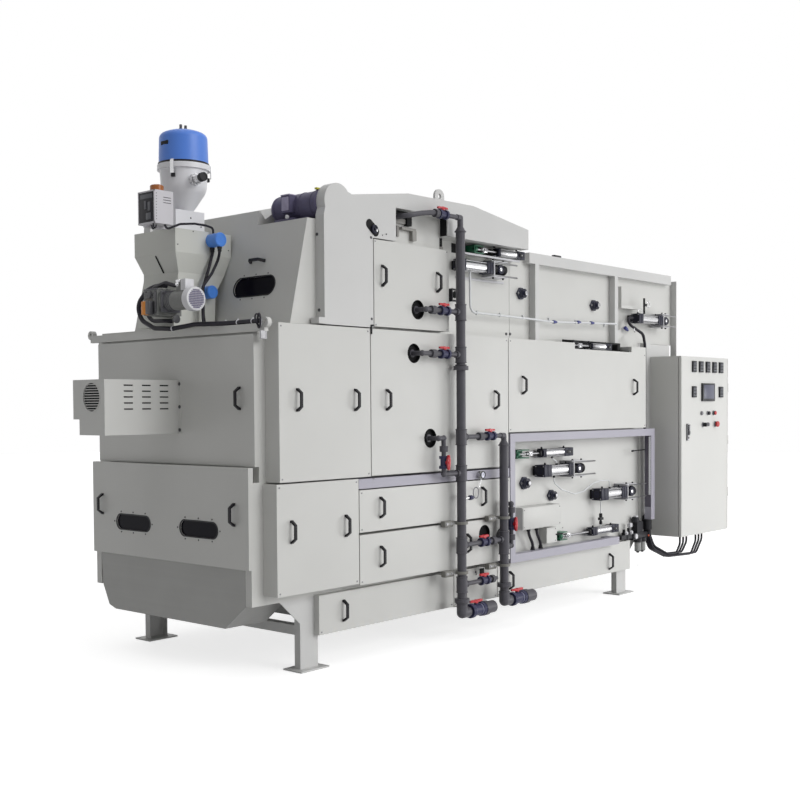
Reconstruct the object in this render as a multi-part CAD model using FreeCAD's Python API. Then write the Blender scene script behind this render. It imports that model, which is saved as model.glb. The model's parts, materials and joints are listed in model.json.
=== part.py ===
import FreeCAD, Part
import math
import os

Vector = FreeCAD.Vector
os.makedirs("parts", exist_ok=True)

# Driving dimensions in millimetres. X runs along the machine, Y into its width, Z up from the floor.
# The outer corner of the near left leg is X 0, Y 0 while the pieces are made, and the export moves
# the origin to the middle of that leg's foot.
frame_width = 1550.0
leg_size_x = 150.0
leg_size_y = 50.0
leg_wall = 8.0
leg_spacing = 3715.0
frame_bottom = 440.0
foot_size_x = 240.0
foot_size_y = 160.0
foot_thickness = 10.0
foot_hole_radius = 9.0
foot_hole_pitch_x = 200.0
foot_hole_pitch_y = 110.0
gusset_reach = 165.0
gusset_height = 150.0
gusset_thickness = 8.0
cross_beam_size = 60.0
cross_beam_bottom = 205.0
sill_height = 60.0

lower_end_x = -371.0
upper_end_x = -318.0
end_frame_depth = 14.0
end_frame_width = 53.0
end_step_z = 1165.0
roof_z = 2105.0
body_right = leg_spacing + 455

cover_depth = 120.0
cover_gap = 8.0
cover_left_upper = -265.0
cover_left_lower = -292.0
cover_seam_x = 515.0
mid_seam_z = 1160.0
covers_right = body_right - 170
drawer_left = 408.0
drawer_right = 2008.0
drawer_seam_z = 808.0
drawer_gap = 16.0
lower_cover_bottom = 497.0
drawer_bottom = 487.0
rail_z = (1090.0, 1152.0)

channel_left = drawer_right + 10
channel_right = body_right - 15
channel_z = (453.0, 1402.0)
channel_width = 60.0
channel_depth = 66.0
short_rail_right = body_right - 610
short_upright_z = 614.0

skirt_depth = 44.0
skirt_z = (205.0, 450.0)
skirt_left = 120.0
skirt_seams = (1440.0, 1950.0)

handle_length = 138.0
handle_rise = 42.0
handle_width = 18.0
handle_bar = 10.0
handle_slant = 26.0

tower_left = 115.0
tower_right = 2255.0
tower_inner_y = -48.0
wall_inner_y = 56.0
shoulder_x = 236.0
shoulder_z = roof_z + 747
shoulder_radius = 115.0
ridge_z = roof_z + 893
eaves_z = roof_z + 800
slot_top_z = roof_z + 655
notch_x = (770.0, 1300.0)
notch_top = roof_z + 780
tower_cover_x = (550.0, 1310.0)
tower_cover_top = roof_z + 565

hood_foot_x = -104.0
hood_fold_x = 46.0
hood_fold_z = roof_z + 640
hood_lip_x = 68.0
hood_lip_z = roof_z + 735
hood_far_y = 1490.0
motor_pocket_y = 400.0

section_right = body_right + 609
section_drop_z = roof_z + 45
section_top_z = roof_z + 625
post_width = 53.0
post_x = (2517.0, body_right - 478)
corner_plate = 10.0
strip_width = 85.0
top_beam_z = (roof_z + 585, roof_z + 665)
top_beam_x = (2440.0, section_right - 106)

pipe_y = -190.0
main_pipe_x = 1350.0
second_pipe_x = 1840.0
main_radius = 31.5
branch_radius = 16.0
inlet_z = 190.0
second_inlet_z = 210.0

cabinet_x = (body_right + 122, body_right + 1037)
cabinet_y = (-300.0, 0.0)
cabinet_z = (455.0, 2030.0)
cabinet_wall = 20.0
door_thickness = 22.0
door_gap = 6.0
hinge_radius = 9.0
hinge_pin_radius = 4.0
pin_clearance = 0.3

feeder_x = (-437.0, 1.0)
feeder_y = (601.0, 1013.0)
loader_x = -205.0
loader_y = 806.0

X_AXIS = Vector(1, 0, 0)
Y_AXIS = Vector(0, 1, 0)
Z_AXIS = Vector(0, 0, 1)


# Shapes that the pieces share
def block(x, y, z):
    """A box given by the low and high value on each axis."""
    return Part.makeBox(x[1] - x[0], y[1] - y[0], z[1] - z[0], Vector(x[0], y[0], z[0]))


def around(centre, length, width, height):
    """A box given by its centre and three sizes."""
    x, y, z = centre
    return block((x - length / 2, x + length / 2), (y - width / 2, y + width / 2),
                 (z - height / 2, z + height / 2))


def bar(start, direction, radius, length):
    return Part.makeCylinder(radius, length, Vector(*start), direction)


def ball(x, y, z, radius):
    return Part.makeSphere(radius, Vector(x, y, z))


def polygon_face(points):
    corners = [Vector(*point) for point in points]
    return Part.Face(Part.makePolygon(corners + [corners[0]]))


def profile_xz(points, y_from, y_to):
    """An outline drawn on the long side and carried across the width."""
    return polygon_face([(x, y_from, z) for x, z in points]).extrude(Vector(0, y_to - y_from, 0))


def profile_yz(points, x_from, x_to):
    """An outline drawn on the end and carried along the length."""
    return polygon_face([(x_from, y, z) for y, z in points]).extrude(Vector(x_to - x_from, 0, 0))


def fuse(shapes):
    body = shapes[0]
    for other in shapes[1:]:
        body = body.fuse(other)
    return body.removeSplitter()


def mirrored(shape):
    return shape.mirror(Vector(0, frame_width / 2, 0), Y_AXIS)


def both_sides(shapes):
    return shapes + [mirrored(shape) for shape in shapes]


def tapered(sections):
    """A body through level rectangles, each given as x range, y range and height."""
    wires = []
    for x, y, z in sections:
        corners = [Vector(x[0], y[0], z), Vector(x[1], y[0], z), Vector(x[1], y[1], z),
                   Vector(x[0], y[1], z)]
        wires.append(Part.makePolygon(corners + [corners[0]]))
    return Part.makeLoft(wires, True, True)


def tube(points, radius, bend):
    """A round tube along straight runs joined by tangent arcs."""
    corners = [Vector(*point) for point in points]
    edges = []
    start = corners[0]
    for corner, after in zip(corners[1:], corners[2:]):
        back = (start - corner).normalize()
        ahead = (after - corner).normalize()
        half_angle = back.getAngle(ahead) / 2
        reach = min(bend / math.tan(half_angle), (start - corner).Length * 0.9,
                    (after - corner).Length * 0.48)
        arc_radius = reach * math.tan(half_angle)
        inward = (back + ahead).normalize()
        arc_end = corner + ahead * reach
        arc_middle = corner + inward * (arc_radius / math.sin(half_angle) - arc_radius)
        edges.append(Part.LineSegment(start, corner + back * reach).toShape())
        edges.append(Part.Arc(corner + back * reach, arc_middle, arc_end).toShape())
        start = arc_end
    edges.append(Part.LineSegment(start, corners[-1]).toShape())
    ring = Part.Wire(Part.makeCircle(radius, corners[0], corners[1] - corners[0]))
    return Part.Wire(edges).makePipeShell([ring], True, False)


def placed(shape, position, along, up):
    """A piece made along X with its top at Z, turned to a new direction and moved."""
    turn = FreeCAD.Rotation(along, up.cross(along), up, "ZXY")
    result = shape.copy()
    result.Placement = FreeCAD.Placement(Vector(*position), turn)
    return result


nodes = {}


def keep(name, shapes):
    """File a piece, or several like pieces that do not touch, under one name."""
    solids = []
    for shape in shapes if isinstance(shapes, list) else [shapes]:
        solids += shape.Solids
    nodes[name] = solids


# Legs, feet, gussets and cross beams
def leg(x, y, open_side):
    outer = block((x, x + leg_size_x), (y, y + leg_size_y), (0, frame_bottom))
    shift = open_side * leg_wall
    hollow = block((x + leg_wall, x + leg_size_x - leg_wall), (y + shift, y + shift + leg_size_y),
                   (0, frame_bottom))
    middle = (x + leg_size_x / 2, y + leg_size_y / 2, foot_thickness / 2)
    plate = around(middle, foot_size_x, foot_size_y, foot_thickness)
    for side_x in (-0.5, 0.5):
        for side_y in (-0.5, 0.5):
            at = (middle[0] + side_x * foot_hole_pitch_x, middle[1] + side_y * foot_hole_pitch_y, -1)
            plate = plate.cut(bar(at, Z_AXIS, foot_hole_radius, foot_thickness + 2))
    return fuse([outer.cut(hollow), plate])


def gusset(x, reach):
    points = [(x, frame_bottom - gusset_height), (x, frame_bottom), (x + reach, frame_bottom)]
    return profile_xz(points, 0, gusset_thickness)


right_leg_edge = leg_spacing + leg_size_x
left_leg = fuse([leg(0, 0, 1), gusset(0, -gusset_reach)])
right_leg = fuse([leg(leg_spacing, 0, 1), gusset(right_leg_edge, gusset_reach)])
keep("legs", both_sides([left_leg, right_leg]))

beams = []
inner_y = (leg_size_y, frame_width - leg_size_y)
for leg_x in (0, leg_spacing):
    x = (leg_x + leg_wall + 30, leg_x + leg_wall + 30 + cross_beam_size)
    flange_y = (leg_wall, frame_width - leg_wall)
    beams.append(block(x, flange_y, (cross_beam_bottom, cross_beam_bottom + cross_beam_size)))
    beams.append(block(x, flange_y, (frame_bottom - sill_height, frame_bottom)))
sill = block((leg_size_x, leg_spacing), (0, leg_size_y), (frame_bottom - sill_height, frame_bottom))
keep("cross_beams", beams + both_sides([sill]))

# Closed housing, with a strip down each right corner
housing = profile_xz([(lower_end_x, frame_bottom), (lower_end_x, end_step_z), (upper_end_x, end_step_z),
                      (upper_end_x, roof_z), (body_right, roof_z), (body_right, frame_bottom)],
                     0, frame_width)
corner_strip = block((body_right - strip_width, body_right), (-20, 1),
                     (frame_bottom + 115, channel_z[1] - channel_width - 4))
end_frame = block((lower_end_x - end_frame_depth, lower_end_x), (0, end_frame_width), (frame_bottom, 655))
keep("housing", fuse([housing] + both_sides([corner_strip, end_frame])))

# Tower above the roof
tower_end = tower_right - 4
tower_roof = [(tower_left, eaves_z - 115), (260, eaves_z - 15), (900, ridge_z - 38), (1600, ridge_z - 33),
              (tower_end, eaves_z - 35)]
tower_core = profile_xz([(tower_left, roof_z)] + tower_roof + [(tower_end, roof_z)],
                        wall_inner_y, frame_width - wall_inner_y)
tower_skin = profile_xz([(tower_left, roof_z)] + tower_roof + [(tower_end, slot_top_z + 5),
                        (notch_x[1], slot_top_z + 5), (notch_x[1], roof_z)],
                        tower_inner_y, wall_inner_y)
motor_pocket = block((tower_left - 1, 340), (tower_inner_y - 1, motor_pocket_y), (hood_fold_z, ridge_z))
keep("tower_housing", fuse([tower_core] + both_sides([tower_skin])).cut(motor_pocket))

side_outline = [(tower_left, roof_z), (tower_left, shoulder_z - 87), (shoulder_x - 70, shoulder_z + 91),
                (shoulder_x + 88, shoulder_z + 74), (360, eaves_z + 10), (895, ridge_z - 6), (1590, ridge_z),
                (tower_right, eaves_z), (tower_right, slot_top_z), (notch_x[1], slot_top_z),
                (notch_x[1], notch_top), (notch_x[0], notch_top), (notch_x[0], tower_cover_top),
                (tower_cover_x[0], tower_cover_top), (tower_cover_x[0], roof_z)]
shoulder = bar((shoulder_x, -cover_depth, shoulder_z), Y_AXIS, shoulder_radius, cover_depth + tower_inner_y)
shaft_slot = profile_xz([(490, slot_top_z - 3), (520, slot_top_z + 17), (612, slot_top_z - 44),
                         (592, slot_top_z - 70)], -cover_depth - 1, tower_inner_y + 1)
lug_x = 1241.5
lug_z = ridge_z + 22
lug_half = 49.5
lug_y = (-cover_depth + 20, -cover_depth + 36)
lug_plate = block((lug_x - lug_half, lug_x + lug_half), lug_y, (eaves_z, lug_z))
lug_top = bar((lug_x, lug_y[0], lug_z), Y_AXIS, lug_half, 16)
lug_hole = bar((lug_x, -cover_depth, lug_z + 2), Y_AXIS, 16, 60)
strip_foot = block((60, 164), (-cover_depth - 6, tower_inner_y - 10), (roof_z + 2, roof_z + 40))
tower_side = fuse([profile_xz(side_outline, -cover_depth, tower_inner_y), shoulder, lug_plate, lug_top,
                   strip_foot]).cut(shaft_slot).cut(lug_hole)
keep("tower_sides", both_sides([tower_side]))


# Sloped inlet hood with its lip beside the drive motor
def oblong(length, height, thickness):
    """A plate with round ends, lying along X with its face up."""
    radius = height / 2
    pieces = [around((0, 0, 0), length - height, height, thickness)]
    for side in (-1, 1):
        pieces.append(bar((side * (length / 2 - radius), 0, -thickness / 2), Z_AXIS, radius, thickness))
    return fuse(pieces)


hood_slope = math.atan2(hood_fold_x - hood_foot_x, hood_fold_z - roof_z)
hood_out = Vector(-math.cos(hood_slope), 0, math.sin(hood_slope))


def on_hood(y, z, lift=0.0):
    """A point on the slope of the hood, raised square to it."""
    x = hood_foot_x + (z - roof_z) * math.tan(hood_slope)
    return (x + lift * hood_out.x, y, z + lift * hood_out.z)


hood_sides = (tower_inner_y, hood_far_y)
hood = profile_xz([(hood_foot_x, roof_z), (hood_fold_x, hood_fold_z), (tower_left, hood_fold_z),
                   (tower_left, roof_z)], *hood_sides)
lip = profile_xz([(hood_fold_x, hood_fold_z), (hood_lip_x, hood_lip_z), (tower_left, hood_lip_z - 50),
                  (tower_left, hood_fold_z)], motor_pocket_y, hood_sides[1])
hood_window_at = (332.0, roof_z + 247)
hood_window_size = (375.0, 122.0)
pane_depth = 14.0
pane_thickness = 6.0
hood_opening = placed(oblong(hood_window_size[0], hood_window_size[1], 2 * pane_depth),
                      on_hood(*hood_window_at), Y_AXIS * -1, hood_out)
hood_pane = placed(oblong(hood_window_size[0], hood_window_size[1], pane_thickness),
                   on_hood(*hood_window_at, pane_thickness / 2 - pane_depth), Y_AXIS * -1, hood_out)
keep("inlet_hood", fuse([hood, lip]).cut(hood_opening))

# Drive motor with its terminal box and end bell
motor_radius = 82.0
motor_x = 205.0
motor_z = shoulder_z - 2
motor_y = (tower_inner_y, 350.0)
bell = Part.makeCone(motor_radius, motor_radius - 18, 26, Vector(motor_x, motor_y[1], motor_z), Y_AXIS)
keep("drive_motor", fuse([
    bar((motor_x, motor_y[0], motor_z), Y_AXIS, motor_radius, motor_y[1] - motor_y[0]),
    bar((motor_x, motor_y[0], motor_z), Y_AXIS, motor_radius + 14, 22), bell,
    block((motor_x - 118, motor_x - 60), (150, 225), (motor_z - 45, motor_z + 60)),
    block((motor_x - 40, motor_x + 40), (60, 300), (hood_fold_z, motor_z - 60))]))

# End covers and their windows
upper_cover_thickness = 33.0
lower_cover_thickness = 36.0
lower_outer = lower_end_x - lower_cover_thickness
upper_outer = upper_end_x - upper_cover_thickness
keep("upper_end_cover", block((upper_outer, upper_end_x), (0, frame_width), (end_step_z + 93, roof_z - 73)))

window_size = (356.0, 96.0)
window_z = 871.0
lower_end_cover = block((lower_outer, lower_end_x), (-4, frame_width), (656, end_step_z + 89))
panes = [hood_pane]
for window_y in (452.0, 1109.0):
    at = (lower_outer, window_y, window_z)
    lower_end_cover = lower_end_cover.cut(placed(oblong(window_size[0], window_size[1], 2 * pane_depth), at,
                                                 Y_AXIS * -1, X_AXIS * -1))
    at = (lower_outer + pane_depth - pane_thickness / 2, window_y, window_z)
    panes.append(placed(oblong(window_size[0], window_size[1], pane_thickness), at, Y_AXIS * -1,
                        X_AXIS * -1))
keep("lower_end_cover", lower_end_cover)
keep("inspection_windows", panes)

# Louvred motor box on the upper end cover, with a round grille in its end
box_x = (-894.0, upper_outer)
box_y = (697.0, 1020.0)
box_z = (1446.0, 1777.0)
louvre_size = (66.0, 9.0)
louvre_depth = 5.0
louvred_box = block(box_x, box_y, box_z)
louvred_box = louvred_box.cut(block((box_x[0] - 1, box_x[0] + 160), (957, box_y[1] + 1),
                                    (box_z[0] - 1, 1540)))
for column_x in (-725.0, -594.0, -463.0):
    for row_z in (1743.0, 1708.0, 1673.0, 1637.0, 1601.0):
        louvre = around((column_x, box_y[0], row_z), louvre_size[0], 2 * louvre_depth, louvre_size[1])
        louvred_box = louvred_box.cut(louvre)
grille_y = 829.0
grille_z = 1672.0
grille_radius = 85.0
grille_depth = 12.0
slat_height = 5.0
slat_pitch = 15.0
grille = bar((box_x[0] - 1, grille_y, grille_z), X_AXIS, grille_radius, grille_depth + 1)
for step in range(-5, 6):
    slat = around((box_x[0] + grille_depth / 2, grille_y, grille_z + step * slat_pitch), grille_depth,
                  2 * grille_radius, slat_height)
    grille = grille.cut(slat)
flanges = [block((upper_outer - 4, upper_outer), (box_y[0] - 22, box_y[0] + 1), box_z),
           block((upper_outer - 4, upper_outer), (box_y[1] - 1, box_y[1] + 22), box_z)]
keep("louvred_motor_box", fuse([louvred_box.cut(grille)] + flanges))

# Lifting beam across the top of the end, with an eye at each side
beam_z = (roof_z - 60, roof_z - 13)
beam_x = (upper_end_x - 30, upper_end_x)
eye_reach = 92.0
eye_radius = 30.0
lifting_beam = block(beam_x, (-eye_reach, frame_width + eye_reach), beam_z)
for y in (-eye_reach, frame_width + eye_reach):
    lifting_beam = lifting_beam.fuse(bar((beam_x[0], y, beam_z[1] + 4), X_AXIS, eye_radius, 30))
    lifting_beam = lifting_beam.cut(bar((beam_x[0] - 1, y, beam_z[1] + 8), X_AXIS, 12, 32))
keep("lifting_beam", lifting_beam)

# Outlet tray under the lower end, and the shallow drip pan
tray_bottom = [(54, 436), (240, 287), (1345, 287), (1415, 310), (1480, 436)]
tray_front = profile_yz([(54, 655)] + tray_bottom + [(1496, 655)], lower_end_x - end_frame_depth,
                        lower_end_x)
tray_under = profile_yz([(54, frame_bottom)] + tray_bottom + [(1480, frame_bottom)], lower_end_x - 1, -60)
keep("outlet_tray", fuse([tray_front, tray_under]))
pan_right = leg_spacing - 315
pan_left = 130.0
pan_outline = [(pan_left, frame_bottom), (pan_left, 300), (1900, 120), (pan_right, 300),
               (pan_right, frame_bottom)]
keep("drip_pan", profile_xz(pan_outline, 180, frame_width - 180))

# Lift-off covers on the long sides, with round ports for the water pipes
front = (-cover_depth, 0)
cover_top = roof_z - cover_gap
centre_cover = block((cover_seam_x + cover_gap, 1992), front, (mid_seam_z + cover_gap, cover_top))
right_cover = block((2000, covers_right), front, (channel_z[1] + 12, cover_top))
left_cover = block((cover_left_upper, cover_seam_x), front, (mid_seam_z + 5, cover_top))
low_left_cover = block((cover_left_lower, drawer_left - cover_gap), front,
                       (lower_cover_bottom, mid_seam_z - 5))
drawer_x = (drawer_left, drawer_right)
high_drawer = block(drawer_x, front, (drawer_seam_z + drawer_gap / 2, rail_z[0] - cover_gap))
low_drawer = block(drawer_x, front, (drawer_bottom, drawer_seam_z - drawer_gap / 2))
tower_cover = block((tower_cover_x[0] + cover_gap, tower_cover_x[1]), (-cover_depth, tower_inner_y),
                    (roof_z + cover_gap, tower_cover_top - cover_gap))
unit_slot_x = (covers_right - 1116, covers_right - 240)
unit_slot_z = (cover_top - 47, cover_top + 1)
unit_slot_floor = -10.0
right_cover_front = right_cover.cut(block(unit_slot_x, (-cover_depth - 1, unit_slot_floor), unit_slot_z))
port_radius = 62.0
port_depth = 25.0
port_floor = port_depth - cover_depth
port_at = [(983.0, roof_z + 137), (941.0, roof_z - 151), (1104.0, 1392.0), (1700.0, 698.0), (1903.0, 662.0)]
port_holes = [bar((x, -cover_depth - 1, z), Y_AXIS, port_radius, port_depth + 1) for x, z in port_at]
keep("upper_covers", [tower_cover.cut(port_holes[0]), left_cover, right_cover_front,
                      centre_cover.cut(port_holes[1]).cut(port_holes[2])]
     + [mirrored(cover) for cover in (tower_cover, left_cover, centre_cover, right_cover)])
keep("lower_covers", [low_left_cover, high_drawer, low_drawer.cut(port_holes[3]).cut(port_holes[4])]
     + [mirrored(cover) for cover in (low_left_cover, high_drawer, low_drawer)])

skirt_y = (-skirt_depth, 0)
skirts = [block((skirt_left, skirt_seams[0]), skirt_y, skirt_z),
          block((skirt_seams[0] + cover_gap, skirt_seams[1]), skirt_y, skirt_z),
          block((skirt_seams[1] + cover_gap, right_leg_edge), skirt_y, skirt_z)]
keep("skirts", both_sides(skirts))

# Channel frame round the lower actuators, with the rail between the covers
frame_y = (-cover_depth, channel_depth - cover_depth)
inner_z = (channel_z[0] + channel_width, channel_z[1] - channel_width)
stand_off_y = (frame_y[1] - 1, 0)
uprights = [block((channel_left, channel_left + channel_width), frame_y, inner_z),
            block((channel_right - channel_width, channel_right), frame_y, (short_upright_z, inner_z[1]))]
keep("channel_uprights", both_sides(uprights))
top_rail = [block((channel_left, channel_right), frame_y, (inner_z[1], channel_z[1]))]
bottom_rail = [block((channel_left, short_rail_right), frame_y, (channel_z[0], inner_z[0]))]
for x in (channel_left, channel_right - 90):
    top_rail.append(block((x, x + 90), stand_off_y, (inner_z[1], channel_z[1])))
for x in (channel_left, short_rail_right - 90):
    bottom_rail.append(block((x, x + 90), stand_off_y, (channel_z[0], inner_z[0])))
mid_rail = block(drawer_x, (4 - cover_depth, 0), rail_z)
keep("channel_rails", both_sides([fuse(top_rail), fuse(bottom_rail), mid_rail]))

# Upper right section with its posts and top beams
section = profile_xz([(tower_right, roof_z), (body_right, roof_z), (body_right, section_drop_z),
                      (section_right, section_drop_z), (section_right, section_top_z),
                      (tower_right, section_top_z)], wall_inner_y, frame_width - wall_inner_y)
keep("upper_section", section)
post_y = (0, wall_inner_y)
corner_plate_x = (section_right - corner_plate, section_right)
posts = [block((x, x + post_width), post_y, (roof_z, top_beam_z[0] + 1)) for x in post_x]
upper_frame = fuse(posts + [block(top_beam_x, post_y, top_beam_z)])
corner_post = block(corner_plate_x, post_y, (section_drop_z, section_top_z))
keep("upper_frame", both_sides([upper_frame, corner_post]))

# Sheet guards beside the steering unit on the upper section
guard_sheet = 6.0
guard_x = (post_x[1] + post_width + 55, post_x[1] + post_width + 334)
guard_z = (roof_z + 326, roof_z + 509)
guard_top = block(guard_x, post_y, (guard_z[0], guard_z[0] + guard_sheet))
guard_lip = block(guard_x, (0, guard_sheet), (guard_z[0], guard_z[0] + 28))
guard_side = block((guard_x[0], guard_x[0] + guard_sheet), post_y, guard_z)
gusset_x = (post_x[1] + post_width, post_x[1] + post_width + 171)
corner_gusset = profile_xz([(gusset_x[0], roof_z + 55), (gusset_x[0], roof_z + 135),
                            (gusset_x[1], roof_z + 195), (gusset_x[1], roof_z + 127)], 0, guard_sheet)
gusset_foot = block((gusset_x[0], gusset_x[0] + guard_sheet), (guard_sheet - 1, wall_inner_y),
                    (roof_z + 60, roof_z + 130))
keep("actuator_guards", [fuse([guard_top, guard_lip, guard_side]), fuse([corner_gusset, gusset_foot])])

# Stand that carries the control cabinet beside the housing
stand_x = (body_right + 43, body_right + 43 + strip_width)
stand_z = (frame_bottom, section_drop_z)
stand = [block(stand_x, post_y, stand_z), block(corner_plate_x, post_y, stand_z),
         block((stand_x[1] - 1, section_right - 105), (20, wall_inner_y),
               (section_drop_z - 190, section_drop_z - 8))]
for z in (frame_bottom + 40, 1250):
    stand.append(block((body_right, corner_plate_x[0] + 1), (16, wall_inner_y), (z, z + 60)))
keep("cabinet_stand", fuse(stand))

# Pull handles
half_grip = handle_length / 2
foot_length = handle_bar + 4
outer_line = [(-half_grip, 0), (-half_grip, 8), (handle_slant - half_grip, handle_rise),
              (half_grip - handle_slant, handle_rise), (half_grip, 8), (half_grip, 0)]
inner_line = [(half_grip - foot_length, 0), (half_grip - foot_length, 5),
              (half_grip - handle_slant - 5, handle_rise - handle_bar),
              (handle_slant + 5 - half_grip, handle_rise - handle_bar),
              (foot_length - half_grip, 5), (foot_length - half_grip, 0)]
grip = profile_xz(outer_line + inner_line, -handle_width / 2, handle_width / 2)
cover_handles = [(-121, 1648), (375, 1648), (-179, 872), (281, 872), (669, 1649), (1829, 1649),
                 (633, roof_z + 332), (1183, roof_z + 332), (2172, 1758), (covers_right - 208, 1758),
                 (601, 963), (1672, 967), (602, 649), (1495, 650)]
skirt_handles = [(333, 330), (1530, 300), (2106, 312), (right_leg_edge - 341, 303)]
side_handles = [placed(grip, (x, -cover_depth, z), Z_AXIS, Y_AXIS * -1) for x, z in cover_handles]
side_handles += [placed(grip, (x, -skirt_depth, z), Z_AXIS, Y_AXIS * -1) for x, z in skirt_handles]
keep("front_handles", side_handles)
keep("back_handles", [mirrored(handle) for handle in side_handles])
end_handles = [placed(grip, on_hood(335, roof_z + 403), Y_AXIS, hood_out)]
for x, y, z in ((upper_outer, 126, 1659), (upper_outer, frame_width - 126, 1659),
                (lower_outer, 121, 977), (lower_outer, 1441, 977)):
    end_handles.append(placed(grip, (x, y, z), Z_AXIS, X_AXIS * -1))
keep("end_handles", end_handles)


# Air cylinders that tension and steer the belts
def tension_unit(bracket, stations, z, wall_y, axis_y, size):
    """A bracket, clevis, rod and square cylinder that follow each other along X."""
    bracket_end, head, barrel, cap, cap_end = [bracket + station for station in stations]
    half = size / 2
    body_y = (axis_y - half, axis_y + half)
    body_z = (z - half, z + half)
    arm_y = (axis_y - 12, wall_y)
    foot_z = (z - half + 8, z - half + 22)
    return fuse([
        block((bracket, bracket_end), (wall_y - 8, wall_y), body_z),
        block((bracket, bracket_end), arm_y, (z + half - 8, z + half)),
        block((bracket, bracket_end), arm_y, (z - half, z - half + 8)),
        block((bracket, bracket + 8), arm_y, body_z),
        bar((bracket, axis_y, z), X_AXIS, 9, head - bracket + 1),
        around((bracket_end + 20, axis_y, z), 50, 30, 34),
        block((head, barrel), body_y, body_z),
        bar((barrel - 1, axis_y, z), X_AXIS, half * 0.88, cap - barrel + 2),
        block((cap, cap_end), body_y, body_z),
        block((head + 10, barrel - 10), (axis_y, wall_y), foot_z),
        block((cap + 10, cap_end - 10), (axis_y, wall_y), foot_z)])


def steering_unit(head, stations, z, wall_y, axis_y, size):
    """A square head and cylinder, then a plate with two rods round a bellows, along X."""
    barrel, neck, plate, bellows_end, rod_end = [head + station for station in stations]
    half = size / 2
    body_y = (axis_y - half, axis_y + half)
    body_z = (z - half, z + half)
    pieces = [
        block((head, barrel), body_y, body_z),
        bar((barrel - 1, axis_y, z), X_AXIS, half * 0.9, neck - barrel + 2),
        block((neck, plate + 1), body_y, body_z),
        block((plate, plate + 10), (body_y[0] - 6, wall_y), (z - half - 14, z + half + 14)),
        bar((plate + 9, axis_y, z), X_AXIS, half * 0.86, bellows_end - plate - 9),
        block((head + 15, head + 45), (axis_y, wall_y), (z - half + 10, z + half - 10))]
    for side in (-1, 1):
        at = (plate + 1, axis_y - half + 14, z + side * (half + 5))
        pieces.append(bar(at, X_AXIS, 6, rod_end - plate - 1))
    return fuse(pieces)


keep("lower_actuators", [
    tension_unit(channel_left + 149, (160, 287, 403, 657, 773), 1244, 0, -60, 66),
    steering_unit(channel_left + 388, (207, 449, 504, 687, 831), 1108, 0, -75, 92),
    steering_unit(body_right - 948, (223, 438, 516, 676, 838), 878, 0, -75, 96),
    tension_unit(2740, (109, 419, 565, 790, 898), 582, 0, -60, 66)])
keep("upper_actuators", [
    tension_unit(1702, (108, 258, 308, 533, 628), slot_top_z - 38, wall_inner_y, -30, 60),
    steering_unit(1500, (145, 390, 462, 640, 763), slot_top_z - 160, wall_inner_y, -10, 82),
    steering_unit(body_right - 240, (170, 434, 510, 630, 760), roof_z + 247, wall_inner_y, -30, 82),
    tension_unit(unit_slot_x[0] + 36, (110, 260, 329, 536, 620), unit_slot_z[0] + 22, unit_slot_floor,
                 -55, 40)])


def flange_bearing(x, y, z, width):
    """A pillow and shaft end on a lozenge flange, seated on a wall that faces -Y."""
    half = width / 2
    shoulder_z = half * 0.8
    plate = profile_xz([(x - half, z), (x - half * 0.35, z + shoulder_z), (x + half * 0.35, z + shoulder_z),
                        (x + half, z), (x + half * 0.35, z - shoulder_z),
                        (x - half * 0.35, z - shoulder_z)], y - 16, y)
    return fuse([plate, bar((x, y - 44, z), Y_AXIS, half * 0.62, 29),
                 bar((x, y - 62, z), Y_AXIS, half * 0.3, 20)])


keep("flange_bearings", [
    flange_bearing(channel_left + 332, 0, 1020, 116), flange_bearing(channel_left + 697, 0, 905, 104),
    flange_bearing(2394, wall_inner_y, roof_z + 353, 108),
    flange_bearing(post_x[1] - 259, wall_inner_y, roof_z + 327, 108)])

# Junction box, manifold block and air service unit in the lower right corner
junction_x = (channel_left + 164, channel_left + 672)
manifold = fuse([block((junction_x[1] - 130, junction_x[1] + 10), (-70, 0), (545, 664)),
                 block((junction_x[1] + 9, junction_x[1] + 42), (-50, 0), (600, 655))])
keep("junction_boxes", [block(junction_x, (-110, 0), (682, 846)), manifold])
service_x = (right_leg_edge + 15, right_leg_edge + 255)
service = [block(service_x, (-68, -20), (450, 505)),
           block((service_x[0] + 60, service_x[0] + 140), (-21, 0), (455, 500)),
           block((service_x[0] - 180, service_x[0] + 1), (-60, -30), (466, 502)),
           bar((service_x[0] - 80, -45, 460), Z_AXIS, 24, 56),
           block((service_x[0] + 80, service_x[0] + 180), (-60, -20), (504, 600))]
for x in (service_x[0] + 105, service_x[0] + 183):
    service.append(bar((x, -50, 425), Z_AXIS, 34, 30))
    service.append(bar((x, -50, 345), Z_AXIS, 27, 81))
keep("air_service_unit", fuse(service))

# Water pipes
socket_radius = branch_radius + 7
socket_reach = main_radius + 22
tee_radius = main_radius + 6
tee_height = 110.0
bend_reach = 62.0
top_branch_z = notch_top - 5
main_pipe_top = top_branch_z - 90
second_pipe_top = 1330.0
cross_z = 1395.0
tray_z = 654.0
main_branches = [(port_at[0][1], -1), (port_at[1][1], -1), (cross_z, 1), (1150.0, -1), (tray_z, 1),
                 (385.0, 1)]
second_branches = [(tray_z, -1), (600.0, 1)]


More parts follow.
